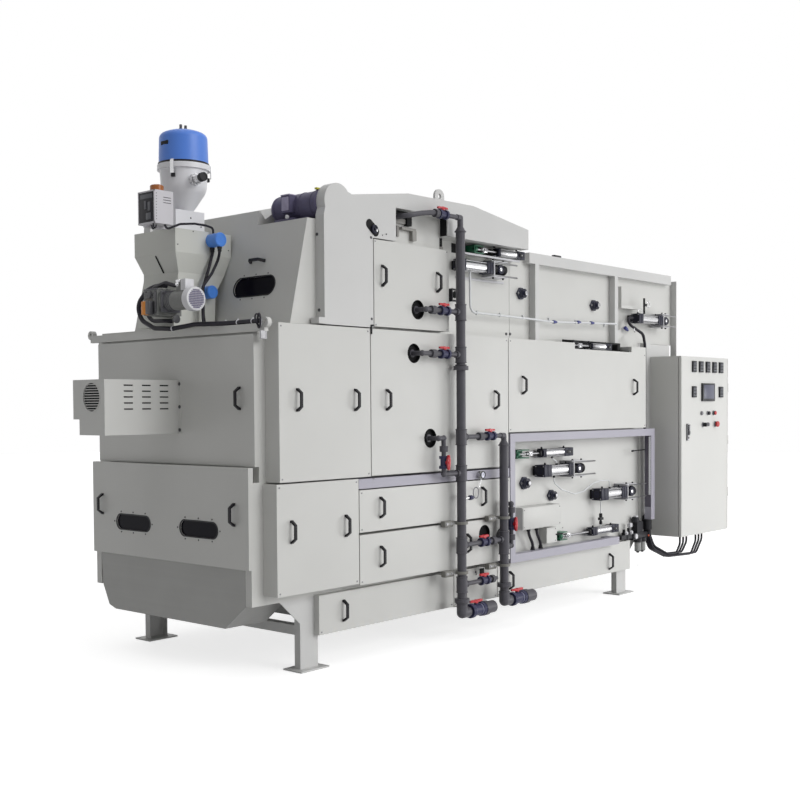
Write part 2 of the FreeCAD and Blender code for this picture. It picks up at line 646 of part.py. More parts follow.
def standpipe(x, foot_z, top_z, branches, collars):
    """A vertical pipe with sockets for its branches and a bend at its foot."""
    pieces = [bar((x, pipe_y, foot_z), Z_AXIS, main_radius, top_z - foot_z),
              ball(x, pipe_y, foot_z, tee_radius),
              bar((x, pipe_y, foot_z), Z_AXIS, tee_radius, bend_reach),
              bar((x, pipe_y, foot_z), X_AXIS, tee_radius, bend_reach)]
    for z, side in branches:
        pieces.append(bar((x, pipe_y, z - tee_height / 2), Z_AXIS, tee_radius, tee_height))
        pieces.append(bar((x, pipe_y, z), X_AXIS * side, socket_radius, socket_reach))
    for z in collars:
        pieces.append(bar((x, pipe_y, z), Z_AXIS, main_radius + 20, 28))
    return fuse(pieces)


def reducer(x, z, bend_z, side):
    """The narrow top of a standpipe, with an elbow towards one side."""
    wide = main_radius + 5
    narrow = branch_radius + 4
    return [Part.makeCone(wide, narrow, 30, Vector(x, pipe_y, z - 1), Z_AXIS),
            bar((x, pipe_y, z), Z_AXIS, narrow, bend_z - z), ball(x, pipe_y, bend_z, narrow),
            bar((x, pipe_y, bend_z), X_AXIS * side, narrow, 40)]


main_pipe = standpipe(main_pipe_x, inlet_z, main_pipe_top, main_branches, (1850, 262))
keep("main_water_pipe", fuse([main_pipe] + reducer(main_pipe_x, main_pipe_top, top_branch_z, -1)))
second_pipe = standpipe(second_pipe_x, second_inlet_z, second_pipe_top, second_branches, (312,))
keep("second_water_pipe", fuse([second_pipe] + reducer(second_pipe_x, second_pipe_top, cross_z, -1)))

lever_pin_radius = 7.0
lever_pin_height = 10.0
lever_lift = 0.5


def valve_body(size):
    """A ball valve along X with union nuts, its stem and pin standing up along Z."""
    radius, length, stem_height = size["radius"], size["length"], size["stem_height"]
    nut_length = length * 0.21
    pieces = [bar((-length / 2, 0, 0), X_AXIS, radius, length)]
    for end in (-length / 2, length / 2 - nut_length):
        pieces.append(bar((end, 0, 0), X_AXIS, radius + 7, nut_length))
    pieces.append(bar((0, 0, 0), Z_AXIS, 14, stem_height))
    pieces.append(bar((0, 0, 0), Z_AXIS, lever_pin_radius, stem_height + lever_pin_height))
    return fuse(pieces)


def valve_lever(size):
    """A winged handle that sits over the stem's pin and lies along the pipe."""
    half = size["lever"] / 2
    base = size["stem_height"] + lever_lift
    waist = half * 0.35
    outline = [(-half, -7), (-waist, -15), (waist, -15), (half, -7), (half, 7), (waist, 15),
               (-waist, 15), (-half, 7)]
    wings = polygon_face([(x, y, base + 8) for x, y in outline]).extrude(Vector(0, 0, 12))
    bore = bar((0, 0, base - 1), Z_AXIS, lever_pin_radius + pin_clearance, lever_pin_height + 1.6)
    return fuse([bar((0, 0, base), Z_AXIS, 16, 16), wings]).cut(bore)


small_valve = dict(radius=23.0, length=84.0, stem_height=27.0, lever=100.0)
large_valve = dict(radius=40.0, length=150.0, stem_height=48.0, lever=138.0)
valve_x = 1171.0
riser_x = 1160.0
riser_z = 1230.0
cross_valve_x = 1677.0
tray_valve_x = 1602.0
side_x = 1928.0
side_z = 757.0
main_inlet_x = 1506.0
second_inlet_x = 1996.0
flat = (X_AXIS, Z_AXIS)
upright = (Z_AXIS, Y_AXIS * -1)
valves = {
    "top_valve_lever": (riser_x, top_branch_z, flat, small_valve),
    "upper_valve_lever": (valve_x, port_at[0][1], flat, small_valve),
    "middle_valve_lever": (valve_x, port_at[1][1], flat, small_valve),
    "riser_valve_lever": (riser_x, riser_z, upright, small_valve),
    "cross_valve_lever": (cross_valve_x, cross_z, flat, small_valve),
    "tray_valve_lever": (tray_valve_x, tray_z, flat, small_valve),
    "drain_valve_lever": (tray_valve_x, 385.0, flat, small_valve),
    "side_valve_lever": (side_x, side_z, upright, small_valve),
    "main_inlet_lever": (main_inlet_x, inlet_z, flat, large_valve),
    "second_inlet_lever": (second_inlet_x, second_inlet_z, flat, large_valve),
}
bodies = []
for name, (x, z, pose, size) in valves.items():
    bodies.append(placed(valve_body(size), (x, pipe_y, z), *pose))
    keep(name, placed(valve_lever(size), (x, pipe_y, z), *pose))
keep("valve_bodies", bodies)

# Branch pipes between the standpipes, the valves and the ports in the covers
half_small = small_valve["length"] / 2
half_large = large_valve["length"] / 2
union_radius = branch_radius + 10


def run_x(x_from, x_to, z, radius=branch_radius):
    return bar((x_from, pipe_y, z), X_AXIS, radius, x_to - x_from)


def run_z(x, z_from, z_to, radius=branch_radius):
    return bar((x, pipe_y, z_from), Z_AXIS, radius, z_to - z_from)


def elbow(x, z):
    return ball(x, pipe_y, z, branch_radius + 4)


def into_wall(x, z, wall_y):
    return [elbow(x, z), bar((x, pipe_y, z), Y_AXIS, branch_radius, wall_y - pipe_y)]


def gland(x, z):
    """The ring where a branch enters its port."""
    return bar((x, port_floor - 14, z), Y_AXIS, union_radius, 14)


branches = []
for port_x, z in port_at[:2]:
    branches.append(run_x(valve_x + half_small, main_pipe_x - socket_reach, z))
    branches.append(fuse([run_x(port_x, valve_x - half_small, z), run_x(1030, 1080, z, union_radius)]
                         + into_wall(port_x, z, port_floor) + [gland(port_x, z)]))
port_x, port_z = port_at[2]
branches.append(fuse(into_wall(port_x, port_z, port_floor) + [gland(port_x, port_z)]
                     + [run_x(port_x, riser_x, port_z), elbow(riser_x, port_z),
                        run_z(riser_x, riser_z + half_small, port_z),
                        run_z(riser_x, 1300, 1340, union_radius)]))
branches.append(fuse([run_z(riser_x, 1150, riser_z - half_small), elbow(riser_x, 1150),
                      run_x(riser_x, main_pipe_x - socket_reach, 1150)]))
branches.append(fuse([run_x(main_pipe_x + socket_reach, cross_valve_x - half_small, cross_z),
                      run_x(1540, 1590, cross_z, union_radius)]))
branches.append(run_x(cross_valve_x + half_small, second_pipe_x - 40, cross_z))
branches.append(run_x(main_pipe_x + socket_reach, tray_valve_x - half_small, tray_z))
branches.append(fuse([run_x(tray_valve_x + half_small, second_pipe_x - socket_reach, tray_z),
                      run_x(1690, 1735, tray_z, union_radius)]))
branches.append(run_x(main_pipe_x + socket_reach, tray_valve_x - half_small, 385))
branches.append(fuse([run_x(tray_valve_x + half_small, 1690, 385), run_x(1680, 1712, 385, union_radius),
                      run_x(1700, 1753, 385, branch_radius - 4)]))
branches.append(fuse([run_x(second_pipe_x + socket_reach, side_x, 600), elbow(side_x, 600),
                      run_z(side_x, 600, side_z - half_small),
                      run_z(side_x, 640, 680, union_radius)]))
branches.append(fuse([run_z(side_x, side_z + half_small, 900), run_z(side_x, 836, 876, union_radius)]
                     + into_wall(side_x, 900, -cover_depth)))
inlets = [(main_pipe_x, main_inlet_x, inlet_z), (second_pipe_x, second_inlet_x, second_inlet_z)]
for pipe_x, inlet_x, z in inlets:
    branches.append(run_x(pipe_x + bend_reach, inlet_x - half_large, z, main_radius))
branches.append(run_x(riser_x + half_small, main_pipe_x - 40, top_branch_z))
spray_hose = tube([(riser_x - half_small, pipe_y, top_branch_z), (1050, pipe_y, top_branch_z),
                   (960, -176, top_branch_z - 14), (840, -150, top_branch_z - 40),
                   (840, tower_inner_y - 0.3, top_branch_z - 40)], 17, 80)
branches.append(fuse([spray_hose, run_x(1075, 1112, top_branch_z, union_radius)]))
# Open inlet unions at the foot of both standpipes
inlet_length = 120.0
inlet_radius = 31.6
inlet_depth = 60.0
for pipe_x, inlet_x, z in inlets:
    start = inlet_x + half_large
    union = fuse([run_x(start, start + inlet_length, z, main_radius + 12),
                  run_x(start, start + 42, z, main_radius + 20)])
    branches.append(union.cut(run_x(start + inlet_length - inlet_depth, start + inlet_length + 1, z,
                                  inlet_radius)))
keep("branch_pipes", branches)

# Clips that hold the standpipes in the seams between the covers
clips = []
for x in (main_pipe_x, second_pipe_x):
    for z in (drawer_seam_z, 468.0):
        ring = bar((x, pipe_y, z - 6), Z_AXIS, main_radius + 10, 12)
        arm = block((x - 150, x - 20), (pipe_y + 20, pipe_y + 44), (z - 6, z + 6))
        foot = block((x - 150, x - 90), (pipe_y + 20, 0), (z - 6, z + 6))
        clips.append(fuse([ring, arm, foot]).cut(bar((x, pipe_y, z - 20), Z_AXIS, main_radius, 40)))
keep("pipe_clips", clips)

# Pressure gauge on the rail, with the stub it is fed from
gauge_x = 1645.0
gauge_z = 1121.0
gauge_face_y = 4 - cover_depth
gauge = fuse([bar((gauge_x, gauge_face_y - 34, gauge_z), Y_AXIS, 27, 30),
              bar((gauge_x, gauge_face_y - 6, gauge_z), Y_AXIS, 16, 6)])
stub_z = 975.0
stub = fuse([bar((main_pipe_x + main_radius, pipe_y, stub_z), X_AXIS, 9, 100),
             bar((main_pipe_x + 90, pipe_y, stub_z), X_AXIS, 14, 26)])
keep("pressure_gauge", [gauge, stub])

# Control cabinet on the stand, open at the front behind its hinged door
shell_y = (cabinet_y[0] + door_thickness + door_gap, cabinet_y[1])
shell = block(cabinet_x, shell_y, cabinet_z)
inside = block((cabinet_x[0] + cabinet_wall, cabinet_x[1] - cabinet_wall),
               (cabinet_y[0], cabinet_y[1] - cabinet_wall),
               (cabinet_z[0] + cabinet_wall, cabinet_z[1] - cabinet_wall))
hinge_x = cabinet_x[1] + 10
hinge_y = cabinet_y[0] + door_thickness / 2
knuckle = 40.0
hinge_z = (760.0, 1240.0, 1720.0)
body_pieces = [shell.cut(inside)]
door_pieces = [block((cabinet_x[0], cabinet_x[1] - 6), (cabinet_y[0], cabinet_y[0] + door_thickness),
                     cabinet_z)]
body_bores = []
for z in hinge_z:
    body_pieces.append(bar((hinge_x, hinge_y, z), Z_AXIS, hinge_radius, knuckle))
    body_pieces.append(block((cabinet_x[1], hinge_x - 2), (hinge_y, hinge_y + 60), (z, z + knuckle)))
    body_bores.append(bar((hinge_x, hinge_y, z + 6), Z_AXIS, hinge_pin_radius + pin_clearance, knuckle))
    door_pieces.append(bar((hinge_x, hinge_y, z + knuckle + 1), Z_AXIS, hinge_radius, knuckle))
    door_pieces.append(bar((hinge_x, hinge_y, z + 8), Z_AXIS, hinge_pin_radius, knuckle))
    door_pieces.append(block((cabinet_x[1] - 30, hinge_x), (cabinet_y[0] + 2, hinge_y + 8),
                             (z + knuckle + 1, z + 2 * knuckle + 1)))
cabinet_body = fuse(body_pieces)
for bore in body_bores:
    cabinet_body = cabinet_body.cut(bore)
keep("cabinet_body", cabinet_body)
keep("cabinet_door", fuse(door_pieces))

# Instruments on the door
door_face = cabinet_y[0]


def on_door(along, z, width, height, depth):
    """A flat instrument, placed by its distance from the left edge of the door."""
    x = cabinet_x[0] + along
    return block((x - width / 2, x + width / 2), (door_face - depth, door_face),
                 (z - height / 2, z + height / 2))


def button(along, z, radius, depth):
    return bar((cabinet_x[0] + along, door_face - depth, z), Y_AXIS, radius, depth)


meter_size = (70.0, 98.0, 12.0)
meter_pitch = 131.0
instruments = [on_door(232 + step * meter_pitch, 1942, *meter_size) for step in range(5)]
instruments += [on_door(along, 1720, *meter_size) for along in (232, 756)]
instruments.append(on_door(498, 1717, 244, 160, 12))
instruments += [button(378, 1530, 15, 14), button(501, 1530, 16, 22), button(615, 1531, 18, 24),
                button(408, 1428, 18, 26), button(505, 1429, 15, 14), button(649, 1430, 22, 34)]
lock_plate = on_door(114, 1367, 34, 146, 10)
lock_grip = on_door(114, 1386, 18, 92, 26)
keep("door_instruments", instruments + [fuse([lock_plate, lock_grip])])

# Powder feeder on the edge of the roof, in front of the hood
corner_z = roof_z + 221
waist_z = roof_z + 332
hopper_z = roof_z + 450
hopper_top = roof_z + 594
base_x = (feeder_x[0], -115.0)
corner_x = (feeder_x[0] + 28, -105.0)
waist_x = (feeder_x[0] + 42, -36.0)
stand_face_y = feeder_y[0] + 28
waist_y = (stand_face_y, feeder_y[1] - 42)
keep("feeder_hopper", tapered([(waist_x, waist_y, waist_z), (feeder_x, feeder_y, hopper_z),
                               (feeder_x, feeder_y, hopper_top)]))
feeder_stand = tapered([(base_x, (stand_face_y, feeder_y[1] - 20), roof_z),
                        (corner_x, (stand_face_y, feeder_y[1] - 32), corner_z),
                        (waist_x, waist_y, waist_z)])
keep("feeder_stand", feeder_stand)
drive_x = feeder_x[0] - 78
drive_z = roof_z + 140
drive_y = (313.0, 580.0, 710.0)
gear_z = (drive_z - 83, drive_z + 70)
gear_x = (drive_x - 79, corner_x[0] - 6)
feeder_drive = fuse([
    block(gear_x, drive_y[1:], gear_z), bar((drive_x, drive_y[0] + 47, drive_z), Y_AXIS, 58, 221),
    bar((drive_x, drive_y[0], drive_z), Y_AXIS, 69, 48),
    bar((drive_x, drive_y[1] - 16, drive_z), Y_AXIS, 73, 17),
    block((drive_x - 31, drive_x + 31), (374, 460), (drive_z + 50, drive_z + 118)),
    block((gear_x[0] - 34, gear_x[0] + 1), (614, 691), (drive_z - 79, drive_z - 2))])
keep("feeder_motor", feeder_drive.cut(feeder_stand))
saddle_z = (hopper_top, hopper_top + 145)
neck_radius = 56.0
bowl_z = (saddle_z[1] + 128, saddle_z[1] + 256)
bowl_radii = (142.0, 150.0)
clamp_radius = 165.0
clamp_height = 31.0
loader_axis = Vector(loader_x, loader_y, 0)
bowl_outline = [(0, saddle_z[1]), (neck_radius, saddle_z[1]), (bowl_radii[0], bowl_z[0]),
                (bowl_radii[1], bowl_z[1]), (0, bowl_z[1])]
bowl_face = polygon_face([(loader_x + radius, loader_y, z) for radius, z in bowl_outline])
bowl = bowl_face.revolve(loader_axis, Z_AXIS, 360)
bowl = bowl.makeFillet(110, [edge for edge in bowl.Edges if abs(edge.CenterOfMass.z - bowl_z[0]) < 0.1])
saddle = block((loader_x - 116, loader_x + 111), (loader_y - 62, loader_y + 62), saddle_z)
clamp_ring = bar((loader_x, loader_y, bowl_z[1] - 1), Z_AXIS, clamp_radius, clamp_height + 1)
spigot_radius = 24.0
spigot_reach = (120.0, 270.0)
spigot_z = bowl_z[0] + 52
spigot_direction = Vector(-0.208, -0.978, 0).normalize()
spigot_start = Vector(loader_x, loader_y, spigot_z) + spigot_direction * spigot_reach[0]
spigot = Part.makeCylinder(spigot_radius, spigot_reach[1] - spigot_reach[0], spigot_start, spigot_direction)
nut_start = spigot_start + spigot_direction * 10
spigot_nut = Part.makeCylinder(spigot_radius + 12, 45, nut_start, spigot_direction)
keep("loader_body", fuse([saddle, bowl, clamp_ring, spigot, spigot_nut]))

# Domed lid with rounded shoulders and two studs
lid_radii = (156.0, 149.0)
lid_z = (bowl_z[1] + clamp_height, bowl_z[1] + 259)
dome_rise = 37.0
dome_radius = (lid_radii[1] ** 2 + dome_rise ** 2) / (2 * dome_rise)
cup = Part.makeCone(lid_radii[0], lid_radii[1], lid_z[1] - lid_z[0], Vector(loader_x, loader_y, lid_z[0]),
                    Z_AXIS)
lid = cup.common(ball(loader_x, loader_y, lid_z[1] - dome_radius, dome_radius))
rim_z = lid_z[1] - dome_rise
lid = lid.makeFillet(40, [edge for edge in lid.Edges if abs(edge.CenterOfMass.z - rim_z) < 5])
studs = [bar((loader_x + side * 19, loader_y, lid_z[1] - 8), Z_AXIS, 7.5, 38) for side in (-1, 1)]
keep("loader_lid", fuse([lid] + studs))

control_x = (feeder_x[0] - 150, feeder_x[0] - 16)
control_y = (feeder_y[0] - 4, feeder_y[0] + 161)
control_z = (hopper_top + 12, hopper_top + 211)
keep("feeder_control_box", fuse([
    block(control_x, control_y, control_z),
    block((control_x[0] + 20, loader_x - 117), (control_y[1] - 70, control_y[1] - 19),
          (hopper_top, control_z[0] + 1)),
    bar((control_x[0] + 73, control_y[0] + 78, control_z[1] - 1), Z_AXIS, 40, 38)]))
high_sensor = (-160.0, hopper_top - 53, 43.0, 96.0)
low_sensor = (-173.0, corner_z, 40.0, 55.0)
keep("level_sensors", [bar((x, face_y - reach, z), Y_AXIS, radius, reach) for (x, z, radius, reach), face_y
                       in ((high_sensor, feeder_y[0]), (low_sensor, stand_face_y))])

# Conduits, hoses and leads, each whole from end to end
seat_gap = 0.3
loop_radius = 14.0
motor_lead_radius = 12.0
sensor_lead_radius = 9.0
conduit_z = beam_z[1] + loop_radius + seat_gap
sensor_drop = high_sensor[2] + seat_gap
conduits = [
    tube([(corner_x[0] + 2, 735, roof_z + 254), (-470, 735, roof_z + 254), (-495, 810, roof_z + 225),
          (-500, 905, roof_z + 142), (-500, 870, roof_z + 46), (-490, 753, roof_z - 10),
          (-470, 603, roof_z - 20), (-420, 445, conduit_z), (-345, 276, conduit_z), (-333.5, 200, conduit_z),
          (-333.5, -50, conduit_z)], loop_radius, 90),
    tube([(drive_x, 460.3, drive_z + 90), (drive_x, 510, drive_z + 90), (drive_x, 600, drive_z + 114),
          (-500, 735, drive_z + 96), (-495, 835, drive_z - 19), (-485, 790, roof_z + 36),
          (-478, 650, roof_z + 30), (base_x[0] + 1.5, 650, roof_z + 30)], motor_lead_radius, 70),
    tube([(high_sensor[0], 588, high_sensor[1] - sensor_drop), (high_sensor[0], 588, high_sensor[1] - 80),
          (-195, 586, roof_z + 360), (-240, 586, roof_z + 245), (-240, 586, roof_z + 75),
          (-250, 565, roof_z + 35), (-250, 565, roof_z + seat_gap)], sensor_lead_radius, 60),
    tube([(high_sensor[0], 520, high_sensor[1] - sensor_drop), (high_sensor[0], 520, high_sensor[1] - 80),
          (-140, 560, roof_z + 420), (-190, 560, roof_z + 335), (-262, 565, roof_z + 245),
          (-262, 565, roof_z + 75), (-275, 545, roof_z + 35), (-275, 545, roof_z + seat_gap)],
         sensor_lead_radius, 50),
    tube([(-504, 612, control_z[0] - seat_gap), (-504, 612, control_z[0] - 32),
          (-450, 586, control_z[0] - 6), (-412, 585, control_z[0] + 10), (-301, 585, control_z[0] + 25),
          (-212, 585, control_z[0] + 24), (high_sensor[0], 580, high_sensor[1] + 78),
          (high_sensor[0], 580, high_sensor[1] + sensor_drop)], 7, 60)]

edge_hose_radius = 12.0
edge_hose_x = covers_right + edge_hose_radius + seat_gap
machine_hoses = [
    tube([(body_right - 240.3, -30, roof_z + 247), (body_right - 310, -30, roof_z + 247),
          (body_right - 345, -60, roof_z + 185), (covers_right - 10, -100, roof_z + 108),
          (edge_hose_x, -104, roof_z + 20), (edge_hose_x, -104, channel_z[1] + seat_gap)],
         edge_hose_radius, 60)]
for x in (junction_x[0] + 148, junction_x[0] + 254):
    machine_hoses.append(tube([(x, -60, 681.7), (x, -60, 640), (x + 55, -60, 560),
                               (x + 55, -60, inner_z[0] + seat_gap)], 11, 120))
keep("hoses_and_conduits", conduits + machine_hoses)

# Air tubes from cylinder to cylinder
air_radius = 8.0
thin_air_radius = 5.0
air_y = -air_radius - seat_gap
air_z = roof_z + 169
upper_air = tube([(1690, air_y, slot_top_z - 197.2), (1690, air_y, air_z), (2400, air_y, air_z - 8),
                  (2740, air_y, air_z - 16), (covers_right - 300, air_y, air_z + 16)], air_radius, 60)
short_air = tube([(channel_left + 632, -60, 1210), (channel_left + 632, -66, 1190),
                  (channel_left + 672, -75, 1175), (channel_left + 672, -75, 1149.8)], thin_air_radius, 30)
upright_air = bar((3364, -60, 611.4), Z_AXIS, thin_air_radius, 218.3)
long_air = tube([(channel_left + 636, -75, 1066.3), (channel_left + 636, -75, 1010),
                 (channel_left + 742, -75, 950), (channel_left + 928, -75, 904),
                 (body_right - 1090, -75, 917), (body_right - 955, -75, 972), (body_right - 840, -75, 990),
                 (body_right - 690, -75, 985), (body_right - 690, -75, 921.5)], thin_air_radius, 40)
keep("air_tubes", [upper_air, short_air, upright_air, long_air])

lead_radius = 9.0
lead_pitch = 20.0
lead_left = body_right + 170
lead_slope = 30.0 / 670.0
leads = []
for index in range(6):
    row = index // 3 * lead_pitch
    column = index % 3 * lead_pitch
    y = column - 150
    drop_x = cabinet_x[0] + 268 + index * 100
    join_x = drop_x - 70 - index * 8
    end_x = body_right - 10 - row
    turn_z = 590 - column
    leads.append(tube([(drop_x, y, cabinet_z[0] - seat_gap), (drop_x, y, 360),
                       (join_x, y, 292 - row - (join_x - lead_left) * lead_slope),
                       (lead_left, y, 292 - row), (end_x, y + 40, 378 - row), (end_x, y + 80, 480),
                       (end_x, y + 80, turn_z), (end_x, -20 - seat_gap, turn_z)], lead_radius, 60))
keep("cabinet_leads", leads)

origin = Vector(leg_size_x / 2, leg_size_y / 2, 0)
for name, solids in nodes.items():
    moved = []
    for solid in solids:
        copy = solid.copy()
        copy.translate(origin * -1)
        moved.append(copy)
    result = moved[0] if len(moved) == 1 else Part.Compound(moved)
    result.exportStep("parts/" + name + ".step")
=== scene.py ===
import json
import math

import bmesh
import bpy
from mathutils import Matrix, Vector


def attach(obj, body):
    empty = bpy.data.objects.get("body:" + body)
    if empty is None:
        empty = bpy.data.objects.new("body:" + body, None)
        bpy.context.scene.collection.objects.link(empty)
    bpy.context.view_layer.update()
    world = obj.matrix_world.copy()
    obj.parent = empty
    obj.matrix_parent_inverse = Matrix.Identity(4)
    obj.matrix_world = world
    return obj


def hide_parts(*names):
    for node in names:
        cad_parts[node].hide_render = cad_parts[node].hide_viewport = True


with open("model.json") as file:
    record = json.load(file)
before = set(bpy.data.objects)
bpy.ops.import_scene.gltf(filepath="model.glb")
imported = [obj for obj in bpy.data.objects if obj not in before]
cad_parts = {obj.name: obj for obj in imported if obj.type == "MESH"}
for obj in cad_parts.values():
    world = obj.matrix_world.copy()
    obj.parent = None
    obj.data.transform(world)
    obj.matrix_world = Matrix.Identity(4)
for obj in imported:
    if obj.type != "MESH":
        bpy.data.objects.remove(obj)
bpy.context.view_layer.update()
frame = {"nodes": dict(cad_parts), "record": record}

# Camera at the photograph's viewpoint
CAMERA_PLACE = (-4.913, -5.075, 1.600)
CAMERA_YAW = 48.81
CAMERA_PITCH = -1.87
CAMERA_ROLL = -0.38
LENS = 51.9
VIEW_SHIFT = 0.05625

camera_data = bpy.data.cameras.new("camera")
camera_data.lens = LENS
camera_data.sensor_width = 36.0
camera_data.shift_y = VIEW_SHIFT
camera_data.clip_end = 100.0
camera = bpy.data.objects.new("camera", camera_data)
bpy.context.scene.collection.objects.link(camera)
camera.matrix_world = (Matrix.Translation(CAMERA_PLACE)
                       @ Matrix.Rotation(math.radians(-CAMERA_YAW), 4, "Z")
                       @ Matrix.Rotation(math.radians(90 + CAMERA_PITCH), 4, "X")
                       @ Matrix.Rotation(math.radians(CAMERA_ROLL), 4, "Z"))
bpy.context.scene.camera = camera
bpy.context.scene.view_settings.view_transform = "Standard"


# Finishes: a few words for building shader nodes
class Amount:
    """A number that changes over a surface. Arithmetic on it adds Math nodes."""

    def __init__(self, finish, socket):
        self.finish = finish
        self.socket = socket

    def __add__(self, other):
        return self.finish.math("ADD", self, other)

    def __rsub__(self, other):
        return self.finish.math("SUBTRACT", other, self)

    def __mul__(self, other):
        return self.finish.math("MULTIPLY", self, other)

    __radd__ = __add__
    __rmul__ = __mul__


class Finish:
    """One material and the nodes that make it."""

    def __init__(self, name):
        self.material = bpy.data.materials.new(name)
        self.material.use_nodes = True
        self.tree = self.material.node_tree
        self.surface = self.tree.nodes["Principled BSDF"]
        self.place = self.node("ShaderNodeTexCoord", output="Object")

    def node(self, kind, settings=None, inputs=None, output=0):
        made = self.tree.nodes.new(kind)
        for key, value in (settings or {}).items():
            setattr(made, key, value)
        for key, value in (inputs or {}).items():
            self.feed(made.inputs[key], value)
        return Amount(self, made.outputs[output])

    def feed(self, socket, value):
        if isinstance(value, Amount):
            self.tree.links.new(value.socket, socket)
        else:
            socket.default_value = value

    def math(self, operation, *values):
        return self.node("ShaderNodeMath", {"operation": operation}, dict(enumerate(values)))

    def along(self, axis):
        """The distance along X, Y or Z in metres."""
        return self.node("ShaderNodeSeparateXYZ", inputs={0: self.place}, output=axis)

    def stretched(self, sizes):
        """Object coordinates scaled on each axis."""
        return self.node("ShaderNodeMapping", inputs={"Vector": self.place, "Scale": sizes})

    def noise(self, scale, detail=2.0, place=None, rough=0.5):
        return self.node("ShaderNodeTexNoise", inputs={"Vector": place or self.place, "Scale": scale,
                                                       "Detail": detail, "Roughness": rough})

    def step(self, value, low, high):
        """0 below low and 1 above high, with a soft change between."""
        return self.node("ShaderNodeMapRange", {"interpolation_type": "SMOOTHSTEP"},
                         {"Value": value, "From Min": low, "From Max": high})

    def mix(self, factor, first, second):
        return self.node("ShaderNodeMix", {"data_type": "RGBA"}, {0: factor, 6: first, 7: second}, 2)

    def bump(self, height, depth, strength=1.0):
        return self.node("ShaderNodeBump", inputs={"Height": height, "Distance": depth,
                                                   "Strength": strength})

    def finish(self, **inputs):
        for key, value in inputs.items():
            self.feed(self.surface.inputs[key.replace("_", " ").title()], value)
        return self.material


def shade(colour, factor):
    """A colour read from 0 to 255 as a screen shows it, turned into light and dimmed or brightened."""
    light = []
    for level in colour:
        level = level / 255.0
        light.append(level / 12.92 if level <= 0.04045 else ((level + 0.055) / 1.055) ** 2.4)
    return (light[0] * factor, light[1] * factor, light[2] * factor, 1.0)


def sheet_paint(name, colour, roughness=0.40, dust_and_low_darkening=0.05):
    """Sprayed paint on sheet metal: faint mottling, orange peel, fine dust specks and a slight darkening towards the
    bottom.
    """
    f = Finish(name)
    mottle = f.step(f.noise(1.1, 3.0), 0.35, 0.65)
    tone = f.mix(mottle, shade(colour, 0.975), shade(colour, 1.02))
    speck = f.step(f.noise(60.0, 4.0), 0.66, 0.74)
    # The colour turns slightly darker towards the bottom, below 0.9 m.
    low = 1.0 - f.step(f.along("Z"), 0.15, 0.9)
    tone = f.mix((speck * 0.25 + low * 0.5) * dust_and_low_darkening * 2.0, tone, shade(colour, 0.62))
    peel = f.noise(420.0, 1.0)
    rough = f.noise(9.0, 2.0) * 0.10 + (roughness - 0.05)
    return f.finish(base_color=tone, roughness=rough, normal=f.bump(peel, 0.0004, 0.35))


def moulded(name, colour, roughness=0.38, grain=600.0):
    """Moulded plastic with a fine grain and slight uneven gloss."""
    f = Finish(name)
    tone = f.mix(f.noise(25.0, 3.0), shade(colour, 0.86), shade(colour, 1.10))
    rough = f.noise(40.0, 2.0) * 0.12 + (roughness - 0.06)
    return f.finish(base_color=tone, roughness=rough, normal=f.bump(f.noise(grain, 1.0), 0.0003, 0.4))


def bare_metal(name, colour, roughness, stretch, metallic=1.0):
    """Drawn or brushed metal with fine lines that run across the stretched axis."""
    f = Finish(name)
    lines = f.noise(6.0, 4.0, f.stretched(stretch), 0.6)
    tone = f.mix(f.noise(3.0, 3.0), shade(colour, 0.88), shade(colour, 1.08))
    rough = lines * 0.22 + (roughness - 0.11)
    return f.finish(base_color=tone, roughness=rough, metallic=metallic,
                    normal=f.bump(lines, 0.0005, 0.35))


def casting(name, colour, roughness=0.55):
    """Painted cast metal with a slightly rough skin."""
    f = Finish(name)
    tone = f.mix(f.noise(30.0, 4.0), shade(colour, 0.80), shade(colour, 1.15))
    return f.finish(base_color=tone, roughness=f.noise(50.0) * 0.15 + (roughness - 0.07),
                    normal=f.bump(f.noise(220.0, 2.0), 0.0012, 0.5))


finishes = {
    "housing_paint": sheet_paint("housing_paint_coat", (206, 206, 203)),
    "frame_paint": sheet_paint("frame_paint_coat", (205, 205, 204)),
    "stainless": bare_metal("stainless_sheet", (140, 140, 138), 0.46, (1.0, 0.15, 9.0), 0.35),
    "feeder_paint": sheet_paint("feeder_coat", (206, 207, 201)),
    "lid_blue": sheet_paint("lid_blue_coat", (84, 134, 226), 0.40, 0.02),
    "sensor_blue": moulded("sensor_blue_moulding", (84, 146, 238), 0.34),
    "control_box_grey": sheet_paint("control_box_coat", (208, 206, 211)),
    "motor_grey": casting("motor_grey_coat", (122, 123, 121)),
    "motor_dark": casting("motor_dark_coat", (96, 92, 118), 0.42),
    "cylinder_metal": bare_metal("cylinder_barrel", (172, 172, 178), 0.30, (0.2, 9.0, 9.0)),
    "bearing_iron": casting("bearing_coat", (54, 56, 72)),
    "service_dark": moulded("service_black", (40, 40, 44)),
    "pipe_grey": moulded("pipe_plastic", (86, 85, 91), 0.36, 300.0),
    "valve_grey": moulded("valve_plastic", (56, 57, 86), 0.34, 300.0),
    "gauge_steel": bare_metal("gauge_case", (190, 190, 190), 0.22, (9.0, 0.3, 9.0)),
    "lever_red": moulded("lever_red_plastic", (196, 26, 40), 0.30),
    "handle_black": moulded("handle_plastic", (28, 27, 32), 0.40),
    "window_dark": moulded("window_pane", (13, 12, 24), 0.16, 80.0),
    "cabinet_paint": sheet_paint("cabinet_coat", (212, 212, 209), 0.36, 0.02),
    "instrument_dark": moulded("instrument_case", (44, 45, 50), 0.32),
    "hose_black": moulded("hose_rubber", (36, 34, 42), 0.46, 200.0),
    "channel_paint": sheet_paint("channel_coat", (166, 164, 176)),
    "loader_grey": sheet_paint("loader_coat", (230, 230, 234), 0.36, 0.02),
    "tube_white": moulded("tube_white_plastic", (220, 222, 224), 0.34),
}
bright_steel = bare_metal("bright_steel", (206, 206, 208), 0.26, (1.0, 9.0, 9.0))
